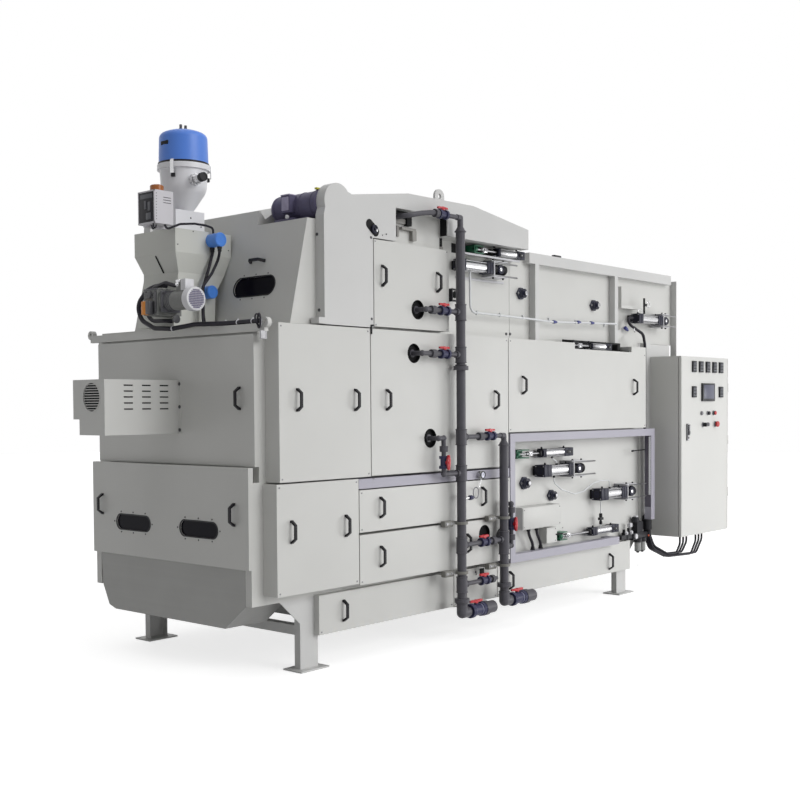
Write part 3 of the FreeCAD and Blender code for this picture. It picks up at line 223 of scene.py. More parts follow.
bolt_steel = bare_metal("bolt_steel", (150, 150, 152), 0.36, (2.0, 2.0, 2.0))
dark_bolt = casting("dark_bolt_steel", (70, 70, 74), 0.42)
navy_casting = casting("navy_casting", (30, 31, 48), 0.36)
black_moulding = moulded("black_moulding", (26, 26, 30), 0.42)
deep_black = moulded("deep_black", (12, 12, 14), 0.70)
green_coat = sheet_paint("green_bracket_coat", (22, 96, 66), 0.38, 0.02)
pale_plate = sheet_paint("pale_plate_coat", (200, 200, 204), 0.34, 0.02)
orange_coat = sheet_paint("orange_coat", (226, 138, 30), 0.40, 0.02)
amber_lens = moulded("amber_lens", (160, 88, 14), 0.24)
white_moulding = moulded("white_moulding", (224, 224, 228), 0.36)
blue_fitting = moulded("blue_fitting", (44, 52, 124), 0.34)
clear_bowl = moulded("clear_bowl_plastic", (156, 157, 156), 0.18)
button_red = moulded("button_red_plastic", (196, 30, 34), 0.30)
tag_yellow = sheet_paint("tag_yellow_coat", (196, 190, 40), 0.40, 0.02)
coil_steel = bare_metal("coil_steel", (120, 120, 124), 0.34, (2.0, 2.0, 2.0))


def mirror_light(materials, level):
    """Sets how much light a dark surface mirrors."""
    for material in materials:
        material.node_tree.nodes["Principled BSDF"].inputs["Specular IOR Level"].default_value = level


mirror_light([finishes[name] for name in ("handle_black", "hose_black", "motor_dark", "instrument_dark",
                                          "service_dark", "pipe_grey", "valve_grey")], 0.22)
mirror_light([black_moulding, deep_black, navy_casting], 0.22)
mirror_light([finishes["window_dark"]], 0.06)
for part in frame["record"]["subparts"]:
    node = frame["nodes"][part["node"]]
    node.data.materials.clear()
    node.data.materials.append(finishes[part["material_slot"]])

# Pieces are placed in millimetres from the same corner as the drawings of the machine
ORIGIN_X = 75.0
ORIGIN_Y = 25.0
COVER_Y = -120.0
LEFT = (-1, 0, 0)
RIGHT = (1, 0, 0)
FRONT = (0, -1, 0)
BACK = (0, 1, 0)
UP = (0, 0, 1)
DOWN = (0, 0, -1)


def at(x, y, z):
    return Vector(((x - ORIGIN_X) / 1000.0, (y - ORIGIN_Y) / 1000.0, z / 1000.0))


def about(middle, half):
    """The low and high value of a span round its middle."""
    return (middle - half, middle + half)


def deselect():
    bpy.ops.object.select_all(action="DESELECT")


def pick(pieces):
    deselect()
    for piece in pieces:
        piece.select_set(True)
    bpy.context.view_layer.objects.active = pieces[0]


def apply_place(piece):
    pick([piece])
    bpy.ops.object.transform_apply(location=True, rotation=True, scale=True)


def edit(piece):
    pick([piece])
    bpy.ops.object.mode_set(mode="EDIT")


def end_edit():
    """Turns all faces outward and leaves edit mode."""
    bpy.ops.mesh.select_all(action="SELECT")
    bpy.ops.mesh.normals_make_consistent(inside=False)
    bpy.ops.object.mode_set(mode="OBJECT")


def pick_parts(piece, kind, test):
    """Selects, in edit mode, the vertices, edges or faces that pass the test."""
    mesh = bmesh.from_edit_mesh(piece.data)
    bpy.ops.mesh.select_all(action="DESELECT")
    bpy.ops.mesh.select_mode(type=kind)
    for part in {"VERT": mesh.verts, "EDGE": mesh.edges, "FACE": mesh.faces}[kind]:
        part.select_set(test(part))
    bmesh.update_edit_mesh(piece.data)


def disc(sides, radius):
    """A flat disc at the origin, in edit mode with everything selected."""
    deselect()
    bpy.ops.mesh.primitive_circle_add(vertices=sides, radius=radius, fill_type="NGON")
    bpy.ops.object.mode_set(mode="EDIT")
    bpy.ops.mesh.select_all(action="SELECT")
    return bpy.context.object


def raise_faces(height):
    bpy.ops.mesh.extrude_region_move(TRANSFORM_OT_translate={"value": (0, 0, height / 1000.0)})


def aim(piece, start, direction):
    """Takes a piece that stands on the origin to its start and turns it along its direction."""
    piece.rotation_euler = Vector(direction).to_track_quat("Z", "Y").to_euler()
    piece.location = start
    apply_place(piece)
    return piece


def sharp(edge):
    return len(edge.link_faces) == 2 and edge.calc_face_angle() > math.radians(50)


def block(x, y, z, edge=1.5):
    """A block with softened edges, from its low and high value on each axis."""
    low = at(x[0], y[0], z[0])
    high = at(x[1], y[1], z[1])
    deselect()
    bpy.ops.mesh.primitive_cube_add(size=1.0, location=(low + high) / 2)
    piece = bpy.context.object
    piece.scale = high - low
    apply_place(piece)
    edit(piece)
    pick_parts(piece, "EDGE", sharp)
    bpy.ops.mesh.bevel(offset=edge / 1000.0, segments=2, affect="EDGES")
    bpy.ops.object.mode_set(mode="OBJECT")
    return piece


def blocks(*rows):
    return [block(*row) for row in rows]


def turned(start, direction, stations, sides=32):
    """A round piece grown along one direction, from (distance, radius) stations."""
    piece = disc(sides, stations[0][1] / 1000.0)
    for before, after in zip(stations, stations[1:]):
        raise_faces(after[0] - before[0])
        factor = after[1] / before[1]
        bpy.ops.transform.resize(value=(factor, factor, 1.0))
    end_edit()
    return aim(piece, start, direction)


def ribbed(start, direction, radius, width, teeth=18):
    """A union nut with grip ribs all round."""
    piece = disc(teeth * 4, radius / 1000.0)
    pick_parts(piece, "VERT", lambda vertex: vertex.index % 4 in (2, 3))
    bpy.ops.transform.resize(value=(0.93, 0.93, 1.0))
    bpy.ops.mesh.select_all(action="SELECT")
    raise_faces(width)
    end_edit()
    return aim(piece, start, direction)


def copied(piece, shifts):
    """The piece again at each shift in millimetres, each copy with its own mesh."""
    made = []
    for shift in shifts:
        twin = piece.copy()
        twin.data = piece.data.copy()
        bpy.context.scene.collection.objects.link(twin)
        twin.data.transform(Matrix.Translation(Vector(shift) / 1000.0))
        made.append(twin)
    return made


def joined(pieces):
    if len(pieces) > 1:
        pick(pieces)
        bpy.ops.object.join()
    return pieces[0]


def fit(pieces, name, slot, finish=None, body="machine"):
    """Joins pieces into one finished piece that rides on a body."""
    piece = joined(pieces if isinstance(pieces, list) else [pieces])
    piece.name = name
    piece.data.name = name
    pick([piece])
    bpy.ops.object.shade_smooth_by_angle(angle=math.radians(40))
    piece.data.materials.clear()
    piece.data.materials.append(finish or finishes[slot])
    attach(piece, body)
    return piece


def screw_head(place, direction, radius=5.0, height=3.0):
    """A round screw head with a domed rim and a sunk driver recess."""
    return turned(place, direction, [(-0.5, radius), (height * 0.5, radius), (height * 0.85, radius * 0.82),
                                     (height, radius * 0.5), (height * 0.4, radius * 0.42)], 12)


def hex_head(place, direction, radius=8.0, height=5.5):
    """A washer under a six-sided bolt head."""
    washer = turned(place, direction, [(-0.4, radius * 1.25), (1.2, radius * 1.25), (1.5, radius * 1.15)], 16)
    head = turned(place, direction, [(1.0, radius), (height * 0.85, radius), (height, radius * 0.86)], 6)
    return joined([washer, head])


def loop_of(x, y, z, reach, thickness, turn=(90, 0, 0)):
    """A closed loop of tube: a circle spun round."""
    deselect()
    bpy.ops.mesh.primitive_circle_add(vertices=10, radius=thickness / 1000, location=(reach / 1000, 0, 0),
                                      rotation=(math.radians(90), 0, 0))
    piece = bpy.context.object
    apply_place(piece)
    edit(piece)
    bpy.ops.mesh.select_all(action="SELECT")
    bpy.ops.mesh.spin(steps=40, angle=math.tau, center=(0, 0, 0), axis=(0, 0, 1))
    bpy.ops.mesh.select_all(action="SELECT")
    bpy.ops.mesh.remove_doubles(threshold=0.00002)
    end_edit()
    piece.location = at(x, y, z)
    piece.rotation_euler = [math.radians(angle) for angle in turn]
    apply_place(piece)
    return piece


def ring(start, direction, inner, outer, width, sides=32):
    """A collar with softened rims round a pipe or a shaft."""
    lip = min(1.2, width * 0.2)
    return turned(start, direction, [(0.0, inner), (0.05, outer - lip), (lip, outer), (width - lip, outer),
                                     (width - 0.05, outer - lip), (width, inner)], sides)


def bridge_rims(piece):
    """Closes the band between two open rims and leaves edit mode."""
    pick_parts(piece, "EDGE", lambda edge: edge.is_boundary)
    bpy.ops.mesh.bridge_edge_loops()
    end_edit()


def hoop(start, direction, inner, outer, width, sides=48):
    """A ring with an open middle."""
    piece = ring(start, direction, inner, outer, width, sides)
    out = Vector(direction).normalized()
    edit(piece)
    pick_parts(piece, "FACE", lambda face: len(face.verts) == sides and abs(face.normal.dot(out)) > 0.9)
    bpy.ops.mesh.delete(type="ONLY_FACE")
    bridge_rims(piece)
    return piece


def turn_to(piece, centre, along, out):
    """Lays a piece made on the XY plane so that its X runs along and its Z points out."""
    out = Vector(out).normalized()
    along = Vector(along).normalized()
    turn = Matrix((along, out.cross(along), out)).transposed().to_4x4()
    piece.matrix_world = Matrix.Translation(centre) @ turn
    apply_place(piece)
    return piece


def oblong_plate(centre, along, out, length, height, rise, sides=32):
    """A plate with round ends, centred on a surface that faces out."""
    piece = disc(sides, height / 2000.0)
    for side in (-1, 1):
        pick_parts(piece, "VERT", lambda vertex: vertex.co.x * side > 0.0001)
        bpy.ops.transform.translate(value=(side * (length - height) / 2000.0, 0, 0))
    bpy.ops.mesh.select_all(action="SELECT")
    raise_faces(rise)
    bpy.ops.object.mode_set(mode="OBJECT")
    return turn_to(piece, centre, along, out)


def oblong_frame(centre, along, out, length, height, band, rise):
    """A gasket with round ends: a plate opened on both faces, its rims bridged."""
    piece = oblong_plate((0, 0, 0), RIGHT, UP, length, height, rise)
    edit(piece)
    for side in (1, -1):
        pick_parts(piece, "FACE", lambda face: face.normal.z * side > 0.9)
        bpy.ops.mesh.inset(thickness=band / 1000.0, depth=0.0)
        bpy.ops.mesh.delete(type="FACE")
    bridge_rims(piece)
    return turn_to(piece, centre, along, out)


# Inspection windows: gaskets, and the small bolts round them
LOWER_END_X = -407.0
WINDOW_Z = 871
gaskets = []
window_bolts = []
for window_y in (452.0, 1109.0):
    gaskets.append(oblong_frame(at(LOWER_END_X, window_y, WINDOW_Z), FRONT, LEFT, 368, 108, 8, 2.5))
    for step_y, step_z in ((-200, 0), (200, 0), (-128, 66), (0, 66), (128, 66), (-128, -66), (0, -66), (128, -66)):
        window_bolts.append(screw_head(at(LOWER_END_X, window_y + step_y, WINDOW_Z + step_z), LEFT))
hood_slope = math.atan2(150.0, 640.0)
hood_out = Vector((-math.cos(hood_slope), 0, math.sin(hood_slope)))
HOOD_WINDOW = (332, 2352)


def on_hood(y, z):
    """A place on the sloping hood, from the middle of its window."""
    y, z = HOOD_WINDOW[0] + y, HOOD_WINDOW[1] + z
    return at(-104.0 + (z - 2105.0) * math.tan(hood_slope), y, z)


gaskets.append(oblong_frame(on_hood(0, 0), FRONT, hood_out, 386, 133, 8, 2.5))
window_bolts += [screw_head(on_hood(step_y, step_z), hood_out, 4.5, 2.6)
    for step_y, step_z in ((-110, 76), (110, 76), (-110, -76), (110, -76), (0, -76), (0, 76))]
fit(gaskets, "window_gaskets", "window_dark", black_moulding)
fit(window_bolts, "window_bolts", "stainless", dark_bolt)

# Ports in the covers: a black disc behind the branch and a soft black rim round it, both painted shade in the hole
throats = []
for x, z in ((983, 2242), (941, 1954), (1104, 1392), (1700, 698), (1903, 662)):
    throats.append(turned(at(x, -94.4, z), FRONT, [(-0.5, 61.4), (1.4, 61.4), (1.6, 30)], 48))
    throats.append(turned(at(x, -94.4, z), FRONT,
        [(0.5, 61.6), (26.8, 61.9), (27.2, 63.8), (25.4, 63.9), (25.2, 61.2), (1.0, 60.9)], 48))
fit(throats, "port_throat_shade", "window_dark", deep_black)

# Louvred motor box: black strips painted as the shade in the slots, with lips, a black disc painted as the shade
# inside the round grille, and flange bolts
GRILLE = (829, 1672)
slots = []
lips = []
for x in (-725.0, -594.0, -463.0):
    for z in (1743.0, 1708.0, 1673.0, 1637.0, 1601.0):
        slots.append(block(about(x, 32.6), (700.4, 702.4), about(z, 4.2), 0.4))
        lips.append(block(about(x, 35), (693.2, 698), (z + 3.6, z + 7.0), 0.8))
slots.append(turned(at(-883.6, *GRILLE), LEFT, [(0, 84.6), (1.2, 84.6)], 48))
fit(slots, "louvre_painted_shade", "window_dark", deep_black)
lips.append(hoop(at(-894, *GRILLE), LEFT, 84.5, 91, 2.2))
fit(lips, "louvre_lips", "housing_paint")
fit([hex_head(at(-355, y, z), LEFT, 9.0, 6.0) for y in (686.0, 1031.0) for z in (1469.0, 1612.0, 1754.0)],
    "box_flange_bolts", "stainless", dark_bolt)

# Powder loader: gasket, three latches, hose end, handle slots and lid nuts
LOADER = (-205.0, 806.0)
loader_steel = []
loader_black = []


def latch(direction):
    """A draw latch made at the origin and swung to its place: a base plate, a lever and a foot."""
    side = Vector((-direction[1], direction[0], 0))
    turn = Matrix((side, Vector((*direction, 0)), Vector(UP))).transposed().to_4x4()
    made = []
    for half, z, near, far, edge in ((12, (3058, 3140), 166, 172, 1.6), (10, (3132, 3146), 157, 168, 1.6),
            (12, (3038, 3062), 146, 162, 2.0)):
        piece = block(about(ORIGIN_X, half), (near + ORIGIN_Y, far + ORIGIN_Y), z, edge)
        piece.matrix_world = Matrix.Translation(at(*LOADER, 0)) @ turn
        apply_place(piece)
        made.append(piece)
    return made


LATCH_TURN = math.radians(206.7)
for third in range(3):
    angle = LATCH_TURN + third * math.radians(120)
    base, lever, foot = latch((math.cos(angle), math.sin(angle)))
    loader_steel += [base, lever]
    loader_black.append(foot)
spigot = Vector((-0.208, -0.978, 0)).normalized()
spigot_end = at(LOADER[0] + spigot.x * 270, LOADER[1] + spigot.y * 270, 3024)
loader_black.append(turned(spigot_end - spigot * 0.034, spigot,
    [(0, 25), (0.5, 27.5), (36, 27.5), (38, 26), (38.4, 19), (34.8, 18)]))
loader_steel.append(turned(spigot_end - spigot * 0.128, spigot, [(0, 36.4), (0.5, 38.6), (32, 38.6), (33, 36)], 8))
loader_steel += [ring(spigot_end - spigot * (0.086 - step * 0.013), spigot, 24, 26.4, 6) for step in range(3)]
fit([turned(at(LOADER[0] + side * 19, LOADER[1], 3356), UP, [(0, 15), (7, 15), (8, 9), (33, 9), (34.5, 7)], 8)
    for side in (-1, 1)], "lid_studs", "stainless", dark_bolt)
# A black block painted as the shade in the handle slot on the side of the lid.
fit(block((-358.5, -340), (768, 838), (3242, 3268), 5.0), "lid_slot_shade", "hose_black", deep_black)
fit(ring(at(*LOADER, 3130.6), UP, 150, 160.5, 14, 64), "loader_gasket", "hose_black", black_moulding)
fit(loader_steel, "loader_latches", "stainless", bright_steel)
fit(loader_black, "loader_hose_end", "hose_black", black_moulding)

# Feeder drive: fan cover with its grid, terminal box, ribs, bolts and the side block
DRIVE_X = -515.0
DRIVE_Z = 2245.0
TILE_PITCH = 10.2
fan_cover = [turned(at(DRIVE_X, 362, DRIVE_Z), FRONT,
    [(0, 69.6), (1.5, 71.4), (44, 71.4), (49.5, 69), (50.8, 66), (50.8, 58), (49.4, 56.5)], 48)]
terminal = block(about(DRIVE_X, 33), (371, 418), (DRIVE_Z + 52, DRIVE_Z + 121), 5.0)
fit(fan_cover + [terminal], "fan_cover", "motor_grey", white_moulding)
terminal_glands = [turned(at(DRIVE_X, 459, DRIVE_Z + 90), BACK, [(0, 19), (10, 19), (11, 16), (24, 16), (26, 13)], 8),
    turned(at(DRIVE_X - 30, 440, DRIVE_Z + 92), LEFT, [(0, 14), (9, 14), (10, 11), (16, 9)], 8),
    block(about(DRIVE_X, 34), (422, 463), (DRIVE_Z + 104, DRIVE_Z + 120), 4.0)]
fit(terminal_glands, "terminal_glands", "motor_grey", bright_steel)
tile = block(about(DRIVE_X, 4.2), (310.4, 313.4), about(DRIVE_Z, 4.2), 0.6)
tiles = [(column * TILE_PITCH, 0, row * TILE_PITCH) for column in range(-5, 6) for row in range(-5, 6)
    if abs(column) + abs(row) <= 7 and (column, row) != (0, 0)]
fit([tile] + copied(tile, tiles), "fan_grid", "motor_grey", moulded("grid_shadow", (128, 124, 146), 0.6))
ribs = [ring(at(DRIVE_X, y, DRIVE_Z), BACK, 57, 61.5, 5, 40) for y in (500.0, 515.0, 530.0, 545.0)]
ribs.append(block(about(DRIVE_X, 68), (548, 566), (DRIVE_Z - 68, DRIVE_Z + 60), 6.0))
ribs += [block((x, x + 8), (578.5, 712), (DRIVE_Z + 66, DRIVE_Z + 76), 2.0) for x in (-596, -560, -524)]
fit(ribs, "drive_ribs", "motor_grey", casting("drive_rib_coat", (84, 84, 90), 0.5))
drive_bolts = [hex_head(at(x, 548, z), FRONT, 7.0, 6.0)
    for x, z in ((-575, 2205), (-575, 2290), (-455, 2205), (-455, 2290))]
drive_bolts += [hex_head(at(-594, y, z), LEFT, 7.0, 6.0)
    for y, z in ((600, 2300), (690, 2300), (600, 2180), (640, 2290))]
fit(drive_bolts, "drive_bolts", "stainless", dark_bolt)
fit(block((-630, -593), (650, 693), (2164, 2245), 5.0), "drive_side_block", "motor_grey", orange_coat)
gear_darks = [block((-630, -593), (612, 648), (2164, 2245), 4.0), block((-602, -592), (586, 606), (2180, 2300), 3.0),
    block((-600, -592), (600, 704), (2262, 2272), 2.0), block((-600, -592), (600, 704), (2286, 2296), 2.0),
    turned(at(-590, 648, 2284), LEFT, [(0, 24), (8, 24), (10, 20), (16, 20), (17, 12)], 24),
    turned(at(-470, 560, 2142), FRONT, [(0, 26), (6, 26), (8, 20)], 24)]
fit(gear_darks, "drive_dark_pieces", "motor_grey", dark_bolt)

# Control box of the feeder: dark front, lamp, vents and cord loops
panel_dark = moulded("control_front_plastic", (24, 23, 30), 0.4)
mirror_light([panel_dark], 0.2)
panel_frame = [block((-591.5, -586), y, z, 1.2)
    for y, z in (((598, 607), (2712, 2909)), ((753, 761), (2712, 2909)), ((598, 761), (2712, 2721)),
    ((598, 761), (2900, 2909)))]
panel_keys = blocks(((-594, -589), (632, 682), (2736, 2776), 3.0), ((-593, -589), (636, 664), (2788, 2842), 3.0),
    ((-593, -589), (676, 700), (2800, 2850), 3.0), ((-592, -589), (620, 738), (2862, 2888), 2.0))
fit(block((-590, -586), (606, 754), (2720, 2901), 3.0), "control_front", "window_dark", panel_dark)
fit(panel_frame, "control_rim", "control_box_grey")
fit(panel_keys, "control_keys", "window_dark", moulded("key_grey", (62, 64, 72), 0.4))
lamp = turned(at(-514, 675, 2909), UP, [(0, 43), (4, 43), (4.4, 41.4), (37.6, 41.4), (43, 35), (47, 20), (48, 6)], 40)
fit(lamp, "control_lamp", "control_box_grey", amber_lens)
dot = screw_head(at(-578, 597, 2735), FRONT, 2.6, 1.4)
vents = [dot] + copied(dot, [(0, 0, 17 * step) for step in range(1, 10)])
vents += [block((-527, -470), (595.4, 598), (z, z + 3.4), 0.6) for z in (2836, 2852, 2868)]
fit(vents, "control_vents", "hose_black", black_moulding)
fit([loop_of(x, y, 2714, reach, 4.5, (90, 0, 34)) for x, y, reach in ((-560, 640, 26), (-528, 700, 22))],
    "control_cord_loops", "hose_black")

# Sight slot in the sloping side of the hopper, and the screws of its sheets
fit(oblong_plate(at(-416.2, 786, 2493), (0.33, -0.30, -1.0), (-0.94, 0, -0.335), 118, 13, 2.0, 16),
    "hopper_sight_slot", "window_dark", deep_black)
hopper_screws = [screw_head(at(x, 601, z), FRONT, 4.0, 2.4)
    for x, z in ((-300, 2690), (-60, 2690), (-420, 2600), (-20, 2600))]
hopper_screws += [screw_head(at(x, 744, z), FRONT) for x, z in ((-284, 2752), (-122, 2752), (-203, 2800))]
fit(hopper_screws, "hopper_screws", "stainless", dark_bolt)

# Level sensors: caps, seams and cable glands
caps = []
for x, z, radius, face_y in ((-160.0, 2646.0, 43.0, 505.0), (-173.0, 2326.0, 40.0, 574.0)):
    caps.append(ring(at(x, face_y + 14, z), FRONT, radius - 1, radius + 1.6, 9, 48))
    caps.append(turned(at(x, face_y + 0.4, z), FRONT,
        [(0, radius - 3), (2.0, radius - 4), (2.2, radius - 12), (0.9, radius - 13)], 48))
fit(caps, "sensor_caps", "sensor_blue")
fit([turned(at(-160, y, 2604), DOWN, [(-3, 15), (10, 15), (11, 12.5), (26, 12.5), (28, 10)], 8) for y in (588, 520)],
    "sensor_glands", "hose_black", black_moulding)

# Ties that bundle the conduits at the roof edge
ties = []
for y in (20.0, 150.0, 262.0):
    ties += [ring(at(-333.5, y, 2106.3), BACK, 13.5, 16.4, 7, 24), block((-337, -330), (y, y + 7), (2121, 2129), 1.0)]
ties.append(ring(at(-470, 603, 2085), (0.3, -0.95, 0.05), 13.5, 17, 7, 24))
fit(ties, "conduit_ties", "hose_black", white_moulding)

# Air cylinders: the pieces of every unit are gathered by finish
unit_navy = []
unit_silver = []
unit_steel = []
unit_green = []
unit_black = []
unit_pale = []
END_SHIFT = 1.14
PORT_RISE = 12.0


def end_block(x, y, z, half):
    """A cylinder's square end with a groove round it and bolt heads in its open face."""
    width = x[1] - x[0]
    unit_navy.append(block((x[0], x[0] + width * 0.42), about(y, half), about(z, half), 3.5))
    unit_navy.append(block((x[0] + width * 0.46, x[1]), about(y, half), about(z, half), 3.5))
    unit_navy.append(block((x[0] + 4, x[1] - 4), (y - half + 3, y + half - 3), (z - half + 3, z + half - 3)))
    for side_y in (-1, 1):
        for side_z in (-1, 1):
            place = at(x[0], y + side_y * half * 0.76, z + side_z * half * 0.76)
            unit_steel.append(screw_head(place, LEFT, half * 0.13, 2.4))


def barrel(x, y, z, half):
    """A bright barrel between two ends, with four tie rods and end rims."""
    radius = half * 0.90
    length = x[1] - x[0]
    unit_silver.append(turned(at(x[0] - 1, y, z), RIGHT,
        [(0, radius), (8, radius), (9, radius * 0.97), (length - 7, radius * 0.97), (length - 6, radius),
        (length + 2, radius)], 48))
    rod = turned(at(x[0] - 1, y - half * 0.78, z - half * 0.78), RIGHT, [(0, half * 0.09), (length + 2, half * 0.09)],
        10)
    unit_steel.append(rod)
    step = half * 1.56
    unit_steel.extend(copied(rod, [(0, step, 0), (0, 0, step), (0, step, step)]))


def port(x, y, z):
    unit_black.append(turned(at(x, y, z), UP,
        [(-1, 8.5), (PORT_RISE * 0.5, 8.5), (PORT_RISE * 0.55, 6.5), (PORT_RISE, 6.5), (PORT_RISE + 1, 5.5)], 8))


def tension_pieces(start, stations, z, wall_y, y, size, bracket=unit_green):
    bracket_end, head, body, cap, cap_end = [start + station for station in stations]
    half = size / 2
    shift = half * END_SHIFT
    head, body, cap, cap_end = head + shift, body - shift, cap - shift, cap_end - shift
    low, high = z - half, z + half
    bracket.append(block((start, bracket_end), (wall_y - 8, wall_y), (low, high)))
    for side in (low, high - 8):
        bracket.append(block((start, bracket_end), (y - 12, wall_y), (side, side + 8)))
    bracket.append(block((start, start + 9), (y - 12, wall_y), (low, high), 2.0))
    bracket.append(ring(at(start + 9, y, z), RIGHT, 9, 20, 26, 24))
    unit_steel.append(turned(at(start, y, z), RIGHT, [(0, 9), (head - start + 1, 9)], 24))
    unit_steel.append(turned(at(bracket_end - 26, y, z), RIGHT, [(0, 15), (12, 15), (13, 13.5)], 6))
    fork = bracket_end + 20
    for side in (-1, 1):
        unit_silver.append(block(about(fork, 25), about(y + side * 11, 4), about(z, 17), 3))
    unit_silver.append(block((fork - 25, fork - 4), about(y, 15), about(z, 17), 4))
    unit_steel.append(turned(at(fork + 10, y - 19, z), BACK,
        [(0, 8), (1, 9), (4, 9), (4.5, 6), (34, 6), (35, 9), (38, 9)], 16))
    unit_black.append(block((head - 24, head), about(y, half * 0.6), about(z, half * 0.6), 4))
    end_block((head, body), y, z, half)
    barrel((body, cap), y, z, half)
    end_block((cap, cap_end), y, z, half)
    for x in (body - 26, cap + 26):
        port(x, y, high)
    for x in ((head + 10, body - 10), (cap + 10, cap_end - 10)):
        unit_pale.append(block(x, (y, wall_y), (low - 4, low + 8)))
    unit_black.append(block((cap + 20, cap_end - 20), (y - half - 6, y - half + 1), about(z, 12), 3))
    unit_steel.append(screw_head(at((cap + cap_end) / 2, y - half - 6, z), FRONT, 6, 3))


def bellows(x, y, z, radius):
    """Round folds between two rims."""
    folds = []
    reach = x[1] - x[0]
    count = max(5, int(reach / 18))
    for index in range(count):
        folds.append((index * reach / count, radius))
        folds.append(((index + 0.5) * reach / count, radius * 0.86))
    return turned(at(x[0], y, z), RIGHT, folds + [(reach, radius), (reach + 0.5, radius * 0.93),
        (reach - 5, radius * 0.8)], 40)


def steering_pieces(head, stations, z, wall_y, y, size):
    body, neck, plate, folds_end, rod_end = [head + station for station in stations]
    half = size / 2
    shift = half * END_SHIFT
    head, body, neck, plate = head + shift, body - shift, neck - shift, plate - shift
    folds_end, rod_end = folds_end - shift, rod_end - 36
    low, high = z - half, z + half
    end_block((head, body), y, z, half)
    unit_black.append(turned(at(head + 2, y, z), LEFT,
        [(0, half * 0.8), (3.5, half * 0.8), (4.5, half * 0.74), (4.5, half * 0.66), (1.5, half * 0.62)], 40))
    barrel((body, neck), y, z, half)
    end_block((neck, plate), y, z, half)
    for x in (body - 30, neck + 18):
        port(x, y, high)
    unit_pale.append(block((plate, plate + 10), (y - half - 6, wall_y), (low - 14, high + 14)))
    unit_black.append(bellows((plate + 9, folds_end), y, z, half * 0.86))
    hub = (plate + folds_end) / 2 + 8
    unit_navy.append(turned(at(hub, y - half * 0.4, z), FRONT,
        [(0, half * 0.84), (half * 0.52, half * 0.84), (half * 0.58, half * 0.76), (half * 0.5, half * 0.62),
        (half * 0.5, half * 0.44)], 40))
    unit_silver.append(turned(at(hub - 3, y - half * 0.88, z), FRONT,
        [(0, half * 0.32), (5, half * 0.32), (7, half * 0.22), (6, half * 0.1)], 24))
    for side in (-1, 1):
        rod_z = z + side * (half + 5)
        rod_y = y - half + 14
        unit_steel.append(turned(at(plate + 1, rod_y, rod_z), RIGHT,
            [(0, 6), (rod_end - plate - 3, 6), (rod_end - plate - 1, 4.6)], 16))
        unit_steel.append(turned(at(plate + 10, rod_y, rod_z), RIGHT, [(0, 11), (9, 11), (10, 9)], 6))
        shelf = (rod_z + 7 * side, rod_z + 13 * side)
        unit_pale.append(block((plate - 8, folds_end + 12), (rod_y - 4, wall_y), (min(shelf), max(shelf)), 1.2))
        for x in (plate + 30, folds_end - 26):
            unit_black.append(hex_head(at(x, rod_y + 14, max(shelf) if side > 0 else min(shelf)), (0, 0, side), 8,
                13))
    unit_black.append(block((head + 15, head + 45), (y, wall_y), (low + 10, high - 10), 2))


LOWER_WALL = 0.0
UPPER_WALL = 56.0
tension_pieces(2167, (160, 287, 403, 657, 773), 1244, LOWER_WALL, -60, 66)
tension_pieces(2740, (109, 419, 565, 790, 898), 582, LOWER_WALL, -60, 66)
tension_pieces(1702, (108, 258, 308, 533, 628), 2722, UPPER_WALL, -30, 60)
tension_pieces(2920, (110, 260, 329, 536, 620), 2084, -10.0, -55, 54, unit_black)
steering_pieces(2406, (207, 449, 504, 687, 831), 1108, LOWER_WALL, -75, 92)
steering_pieces(3222, (223, 438, 516, 676, 838), 878, LOWER_WALL, -75, 96)
steering_pieces(1500, (145, 390, 462, 640, 763), 2600, UPPER_WALL, -10, 82)
steering_pieces(3930, (170, 434, 510, 630, 760), 2352, UPPER_WALL, -30, 82)
heads = fit(unit_navy, "cylinder_ends", "cylinder_metal", navy_casting)
barrels = fit(unit_silver, "cylinder_barrels", "cylinder_metal", bright_steel)
fit(unit_steel, "cylinder_rods", "cylinder_metal", bolt_steel)
fit(unit_green, "cylinder_brackets", "cylinder_metal", green_coat)
fit(unit_black, "cylinder_bellows", "cylinder_metal", black_moulding)
fit(unit_pale, "cylinder_plates", "cylinder_metal", pale_plate)
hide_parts("lower_actuators")
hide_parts("upper_actuators")

# Flange bearings: bolts, a rim and the shaft end in each
bearing_bolts = []
bearing_rims = []
for x, y, z, half in ((2350, 0, 1020, 58), (2715, 0, 905, 52), (2394, 56, 2458, 54), (3433, 56, 2432, 54)):
    for side in (-1, 1):
        bearing_bolts.append(hex_head(at(x + side * half * 0.74, y - 16, z), FRONT, 8, 8))
    bearing_rims.append(ring(at(x, y - 38, z), FRONT, half * 0.36, half * 0.64, 8, 40))
    bearing_bolts.append(turned(at(x, y - 60, z), FRONT,
        [(0, half * 0.31), (4, half * 0.31), (5.5, half * 0.24), (4.6, half * 0.08)], 24))
fit(bearing_bolts, "bearing_bolts", "bearing_iron", bolt_steel)
fit(bearing_rims, "bearing_rims", "bearing_iron", navy_casting)

# Black sheets painted as the shade in the slots behind the units, and the strips round them
darks = blocks(((1560, 2250), (55.0, 57.2), (2690, 2757), 0.5), ((2886, 3758), (-12.0, 1), (2051, 2128), 0.5),
    ((3640, 3756), (-100, -12), (2052, 2060), 1.0), ((2886, 2910), (-100, -12), (2052, 2120), 1.0),
    ((3600, 3640), (-80, -12), (2060, 2110), 4.0))
fit(darks, "unit_slot_shade", "window_dark", deep_black)
fit(blocks(((1580, 2250), (-47.5, -30), (2672, 2686)), ((1600, 2180), (50, 57), (2512, 2530))), "unit_slot_strips",
    "frame_paint", pale_plate)

